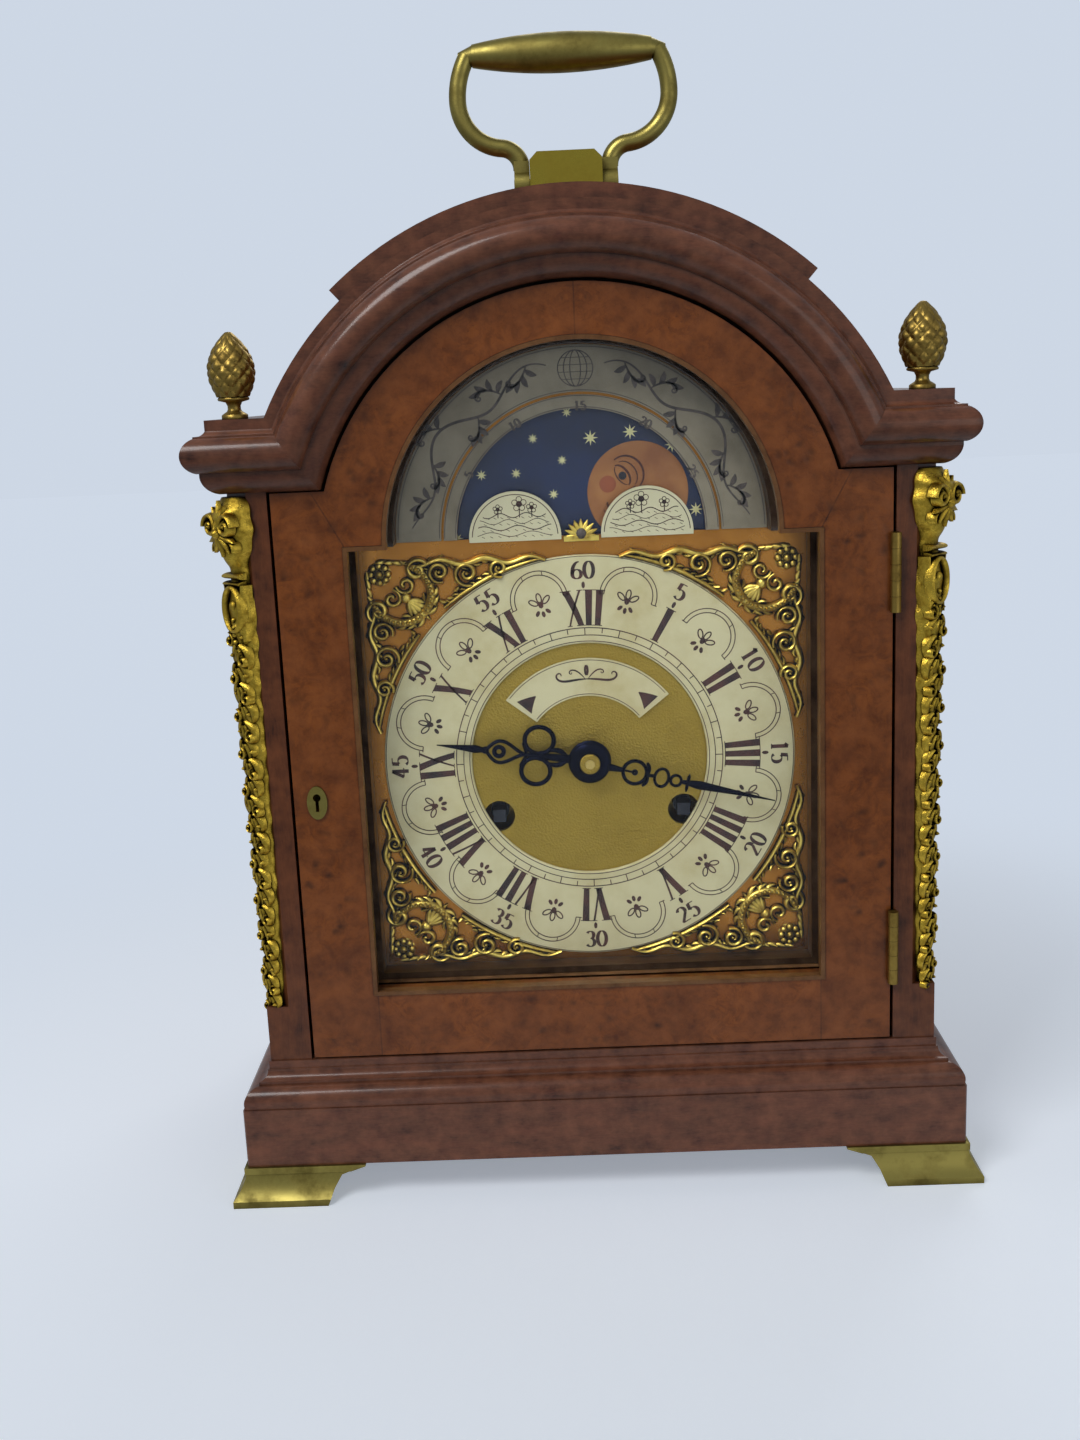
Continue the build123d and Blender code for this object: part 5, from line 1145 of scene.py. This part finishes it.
wave = np.array([0.15, 0.5, 0.6, 0.5, 0.6, 0.5, 0.6, 0.5, 0.15])
minute_parts = [(hoop((0, 0), 4.5, count=48), 1.95, True),
                (line((0, 6.0), (0, 11.0), 6), np.linspace(1.3, 0.7, 6), False),
                (hoop((0, 14.4), 3.7, count=36), 0.6, True), (hoop((0, 14.4), 0.55, count=12), 0.5, True),
                (line((0, 10.6), (0, 14.0), 4), 0.35, False), (line((0, 17.8), (0, 21.0), 4), 0.6, False),
                (hoop((0, 23.0), 2.9, 2.2, 30), 0.5, True), (hoop((0, 27.6), 1.7, count=24), 0.5, True),
                (line((-2.9, 31.4), (2.9, 31.4), 9), wave, False), pointer(28.9, 59.5, 24, 0.2, 0.55, 1.45)]
for side in (-1, 1):
    spur = scroll((0, 18.4), 90 - side * 66, 4.2, side * -70, count=14)
    minute_parts.append((spur, tapered(spur, 0.7, 0.3), False))
mesh_piece("pierced_minute_hand", hand_shapes(minute_parts, minute_angle, minute_back), blued_steel,
           "minute", ["minute_hand"])

# %% [markdown]
# A gilt casting runs down each front corner of the case: a rosette between two volutes at the head,
# a narrow neck, a shoulder with an oval strap and small beads, and a long drop of leaves that
# shrink to a bead at the foot. The scalloped core under them holds the casting together.
# It is drawn flat and then stood on the canted corner, which faces half left or half right.

# %% Corner mounts
mount_top, mount_foot = 221.6, 57.2
drop_top, drop_foot, drop_rows = mount_top - 40.0, mount_foot + 7.0, 21
cant_place = (101.5, -56.5)


def mount_core():
    """The body of the casting: half widths and depths along its height, scalloped by small waves."""
    height = np.linspace(0, 1, 220)
    stations = [0.0, 0.025, 0.06, 0.095, 0.125, 0.15, 0.2, 0.27, 0.34, 0.5, 0.72, 0.92, 0.98, 1.0]
    halves = [4.4, 7.0, 7.2, 5.6, 3.4, 3.6, 5.3, 5.1, 4.6, 4.4, 4.2, 3.4, 2.0, 0.4]
    depths = [4.4, 7.4, 7.8, 6.2, 3.8, 3.6, 4.8, 4.4, 3.8, 3.4, 3.0, 2.2, 1.4, 0.4]
    scallop = 0.5 * np.sin(height * 150.0) + 0.4 * np.sin(height * 97.0 + 1.0)
    path = np.stack([np.zeros(220), mount_top - height * (mount_top - mount_foot)], axis=1)
    half = np.interp(height, stations, halves) * (1 + 0.1 * scallop)
    return bead(path, half, np.interp(height, stations, depths) * (1 - 0.12 * scallop), 0.0, 15)


def mount_head():
    """The volutes, the oval strap and the wings of both sides, then rosette, collars and beads."""
    parts = []
    for side in (-1, 1):
        eye = np.array([side * 3.8, mount_top - 8.2])
        volute = coil(eye, 3.7, 0.6, 90 - side * 90, side * 500, 44)
        cheek = coil((side * 3.2, mount_top - 15.4), 3.2, 1.8, 90 + side * 70, side * -170, 20)
        strap = coil((0.0, 0.0), 4.1, 4.1, 90, side * 190, 24) * (1, 1.6) + (0, mount_top - 33.0)
        wing = scroll((side * 4.4, mount_top - 25.6), 270 - side * 10, 17.0, side * 16, count=20)
        parts += [bead(volute, tapered(volute, 1.15, 0.6), 3.2, -5.2, 9), dome(eye, 1.2, 3.4, -5.2, 12, 4),
                  bead(cheek, tapered(cheek, 1.1, 0.5), 3.0, -3.6, 9),
                  bead(strap, tapered(strap, 1.25, 0.6), 2.8, -2.8, 9),
                  bead(wing, tapered(wing, 1.5, 0.5), 3.6, -0.6, 9)]
    for aim in (46, 68, 90, 112, 134):
        parts.append(leaf((0, mount_top - 10.0), aim, 9.4 - 0.06 * abs(aim - 90), 1.5, 0, -5.8, 3.0))
    for aim in (200, 235, 270, 305, 340):
        parts.append(leaf((0, mount_top - 10.6), aim, 6.6, 1.3, 0, -5.6, 2.8))
    parts.append(dome((0, mount_top - 10.2), 1.9, 3.6, -6.0, 18, 6))
    for half, down, width, height, base in ((4.2, 23.2, 1.0, 3.4, -1.4), (4.0, 25.4, 0.8, 3.2, -1.6)):
        collar = line((-half, mount_top - down), (half, mount_top - down), 6)
        parts.append(bead(collar, width, height, base, 9))
    parts.append(dome((0, mount_top - 32.0), 2.0, 2.2, -3.2, 18, 6))
    return parts + [dome((0, mount_top - 36.2 - 2.2 * step), 1.1, 2.2, -3.2, 12, 4) for step in range(4)]


def mount_drop():
    """Rows of four leaves with a small curl and a berry, swaying a little and smaller further down."""
    parts = []
    for step in range(drop_rows):
        share = step / (drop_rows - 1)
        level = drop_top - (drop_top - drop_foot) * share
        size = 1.28 - 0.34 * share
        sway = 0.8 * np.sin(step * 1.9)
        for lean in (-58, 58, -24, 24):
            root = (sway + lean * 0.02, level + abs(lean) * 0.04)
            parts.append(leaf(root, 270 + lean, (5.9 + 0.9 * (step % 2)) * size, 1.25 * size, -1.5 * lean,
                              -1.7 * size, 2.3 * size, 12))
        side = 1 if step % 2 else -1
        knot = np.array([side * 2.3 * size, level - 2.4])
        curl = coil(knot, 1.8 * size, 0.4, 90, side * 420, 26)
        parts += [bead(curl, tapered(curl, 0.62 * size, 0.6), 2.2 * size, -1.9 * size, 7),
                  dome(knot * (-1, 1) + (0, 1.2), 0.85 * size, 3.0 * size, -1.2, 10, 4)]
    return parts + [dome((0, mount_foot + 2.2), 1.5, 1.6, 0.0, 14, 4)]


def on_cant(shapes, side):
    """Stands flat shapes on a canted corner: across and depth are turned by 45 degrees."""
    made = []
    for points, blocks in shapes:
        across, depth = points[:, 0], -points[:, 1]
        x = side * cant_place[0] + (across + side * depth) / np.sqrt(2)
        y = cant_place[1] + (side * across - depth) / np.sqrt(2)
        made.append((np.stack([x, y, points[:, 2]], axis=1), blocks))
    return made


mount = [mount_core()] + mount_head() + mount_drop()
mesh_piece("corner_castings", on_cant(mount, -1) + on_cant(mount, 1), corner_brass, "case",
           ["corner_mounts"])

# %% [markdown]
# Each finial is a pine cone on a turned neck. The scales are the overlap of two sets of spiral
# waves, one winding left and one right: where both are high, a scale stands out.

# %% Finials
finial_foot = 244.0
finial_places = ((-99.5, -58.0), (99.5, -58.0))
neck_radius = [0.3, 3.8, 3.8, 3.5, 2.2, 1.9, 1.9, 2.4, 4.4, 4.6, 4.4, 4.0, 0.3]
neck_height = [0.0, 0.0, 1.1, 1.4, 2.2, 2.8, 3.8, 4.8, 5.3, 5.7, 6.1, 6.5, 6.6]
cone_foot, cone_tall, cone_tip, cone_wide = 6.3, 18.2, 24.6, 7.0
scale_waves, scale_rise = 4.5, 13.0


def lathed(radius, height, place, sides=64, ripple=None):
    """A turned shape: a circle at each height, its radius multiplied by a ripple where there is one."""
    turn = np.linspace(0, 2 * np.pi, sides, endpoint=False)[None, :]
    wide = np.broadcast_to(np.asarray(radius)[:, None], (len(radius), sides))
    if ripple is not None:
        wide = wide * ripple(turn, np.linspace(0, 1, len(radius))[:, None])
    tall = np.broadcast_to(np.asarray(height)[:, None], wide.shape)
    return skin(np.stack([place[0] + wide * np.cos(turn), place[1] + wide * np.sin(turn), tall], axis=-1))


def scales(turn, share):
    """Diamond scales: two spiral waves multiplied."""
    left_hand = np.abs(np.cos(scale_waves * turn + scale_rise * share))
    right_hand = np.abs(np.cos(scale_waves * turn - scale_rise * share))
    return 0.88 + 0.12 * np.sqrt(left_hand * right_hand)


share = np.linspace(0, 1, 72)
cone_radius = np.append(cone_wide * np.sin(np.pi * (0.26 + 0.72 * share) ** 1.15) ** 0.8, 0.1)
cone_height = finial_foot + np.append(cone_foot + cone_tall * share, cone_tip)
finials = []
for place in finial_places:
    finials += [lathed(neck_radius, finial_foot + np.array(neck_height), place, 40),
                lathed(cone_radius, cone_height, place, 96, scales)]
mesh_piece("pine_finials", finials, finial_brass, "case", ["finials"], sharp=60)

# %% [markdown]
# The stage is a plain pale floor under plain soft light. One big lamp from the upper left models
# the relief, a weaker one from the right opens the shadows and one from behind lifts the roof.
# The pale background is only what the camera, gloss and glass see; it adds no light of its own.
# Away from the clock the floor turns into that same background, so no horizon shows.

# %% Floor
backdrop = paint(204, 214, 228)
plain_from, plain_at = 130.0, 460.0
near_glow = 0.45
gloss_share = 0.34
floor_reach = 4000.0


def sight(tree):
    """1 for rays of the camera or through glass, gloss_share for gloss, and 0 for light."""
    rays = node(tree, "LightPath", {}).outputs
    seen = maths(tree, "MAXIMUM", rays["Is Camera Ray"], rays["Is Transmission Ray"])
    return maths(tree, "MAXIMUM", seen, maths(tree, "MULTIPLY", rays["Is Glossy Ray"], gloss_share))


corners = np.array([[-1, -1, 0], [1, -1, 0], [1, 1, 0], [-1, 1, 0]]) * floor_reach * MM
floor_mesh = bpy.data.meshes.new("floor")
floor_mesh.from_pydata(corners.tolist(), [], [[0, 1, 2, 3]])
floor = bpy.data.objects.new("floor", floor_mesh)
bpy.context.scene.collection.objects.link(floor)
floor_paint, tree, shader, place = new_material("floor_paint")
reach = {"Value": distance(tree, place), "From Min": plain_from * MM, "From Max": plain_at * MM}
fade = node(tree, "MapRange", reach, interpolation_type="SMOOTHSTEP").outputs[0]
glow = maths(tree, "MULTIPLY_ADD", fade, 1.0 - near_glow, near_glow)
filled(tree, shader, {"Base Color": blend(tree, fade, paint(232, 238, 246), grey(0.0)),
                      "Emission Color": backdrop,
                      "Emission Strength": maths(tree, "MULTIPLY", glow, sight(tree)),
                      "Roughness": 0.9, "Specular IOR Level": 0.1})
floor_mesh.materials.append(floor_paint)
print("floor ends in the backdrop at", plain_at, "mm")

# %% Lamps and world
ambient = 0.13
clock_middle = (0, 0, 170)


def lamp(name, place, aim, size, power):
    """A soft square lamp at a place, in millimetres, facing its aim."""
    data = bpy.data.lights.new(name, "AREA")
    data.size = size * MM
    data.energy = power
    made = bpy.data.objects.new(name, data)
    bpy.context.scene.collection.objects.link(made)
    towards = (np.array(aim) - np.array(place)).astype(float)
    back = -towards / np.linalg.norm(towards)
    side = np.cross([0, 0, 1.0], back)
    side /= np.linalg.norm(side)
    turn = np.eye(4)
    turn[:3, 0], turn[:3, 1], turn[:3, 2] = side, np.cross(back, side), back
    turn[:3, 3] = np.array(place) * MM
    made.matrix_world = Matrix(turn.tolist())


lamp("key_lamp", (-480, -620, 960), clock_middle, 480, 5.0)
lamp("fill_lamp", (700, -900, 300), clock_middle, 800, 1.5)
lamp("back_lamp", (250, 800, 900), clock_middle, 600, 2.4)
world = bpy.data.worlds.new("studio")
bpy.context.scene.world = world
world.use_nodes = True
tree = world.node_tree
colour = blend(tree, sight(tree), grey(ambient), backdrop)
filled(tree, tree.nodes["Background"], {"Color": colour, "Strength": 1.0})
print("stage ready, ambient level", ambient)
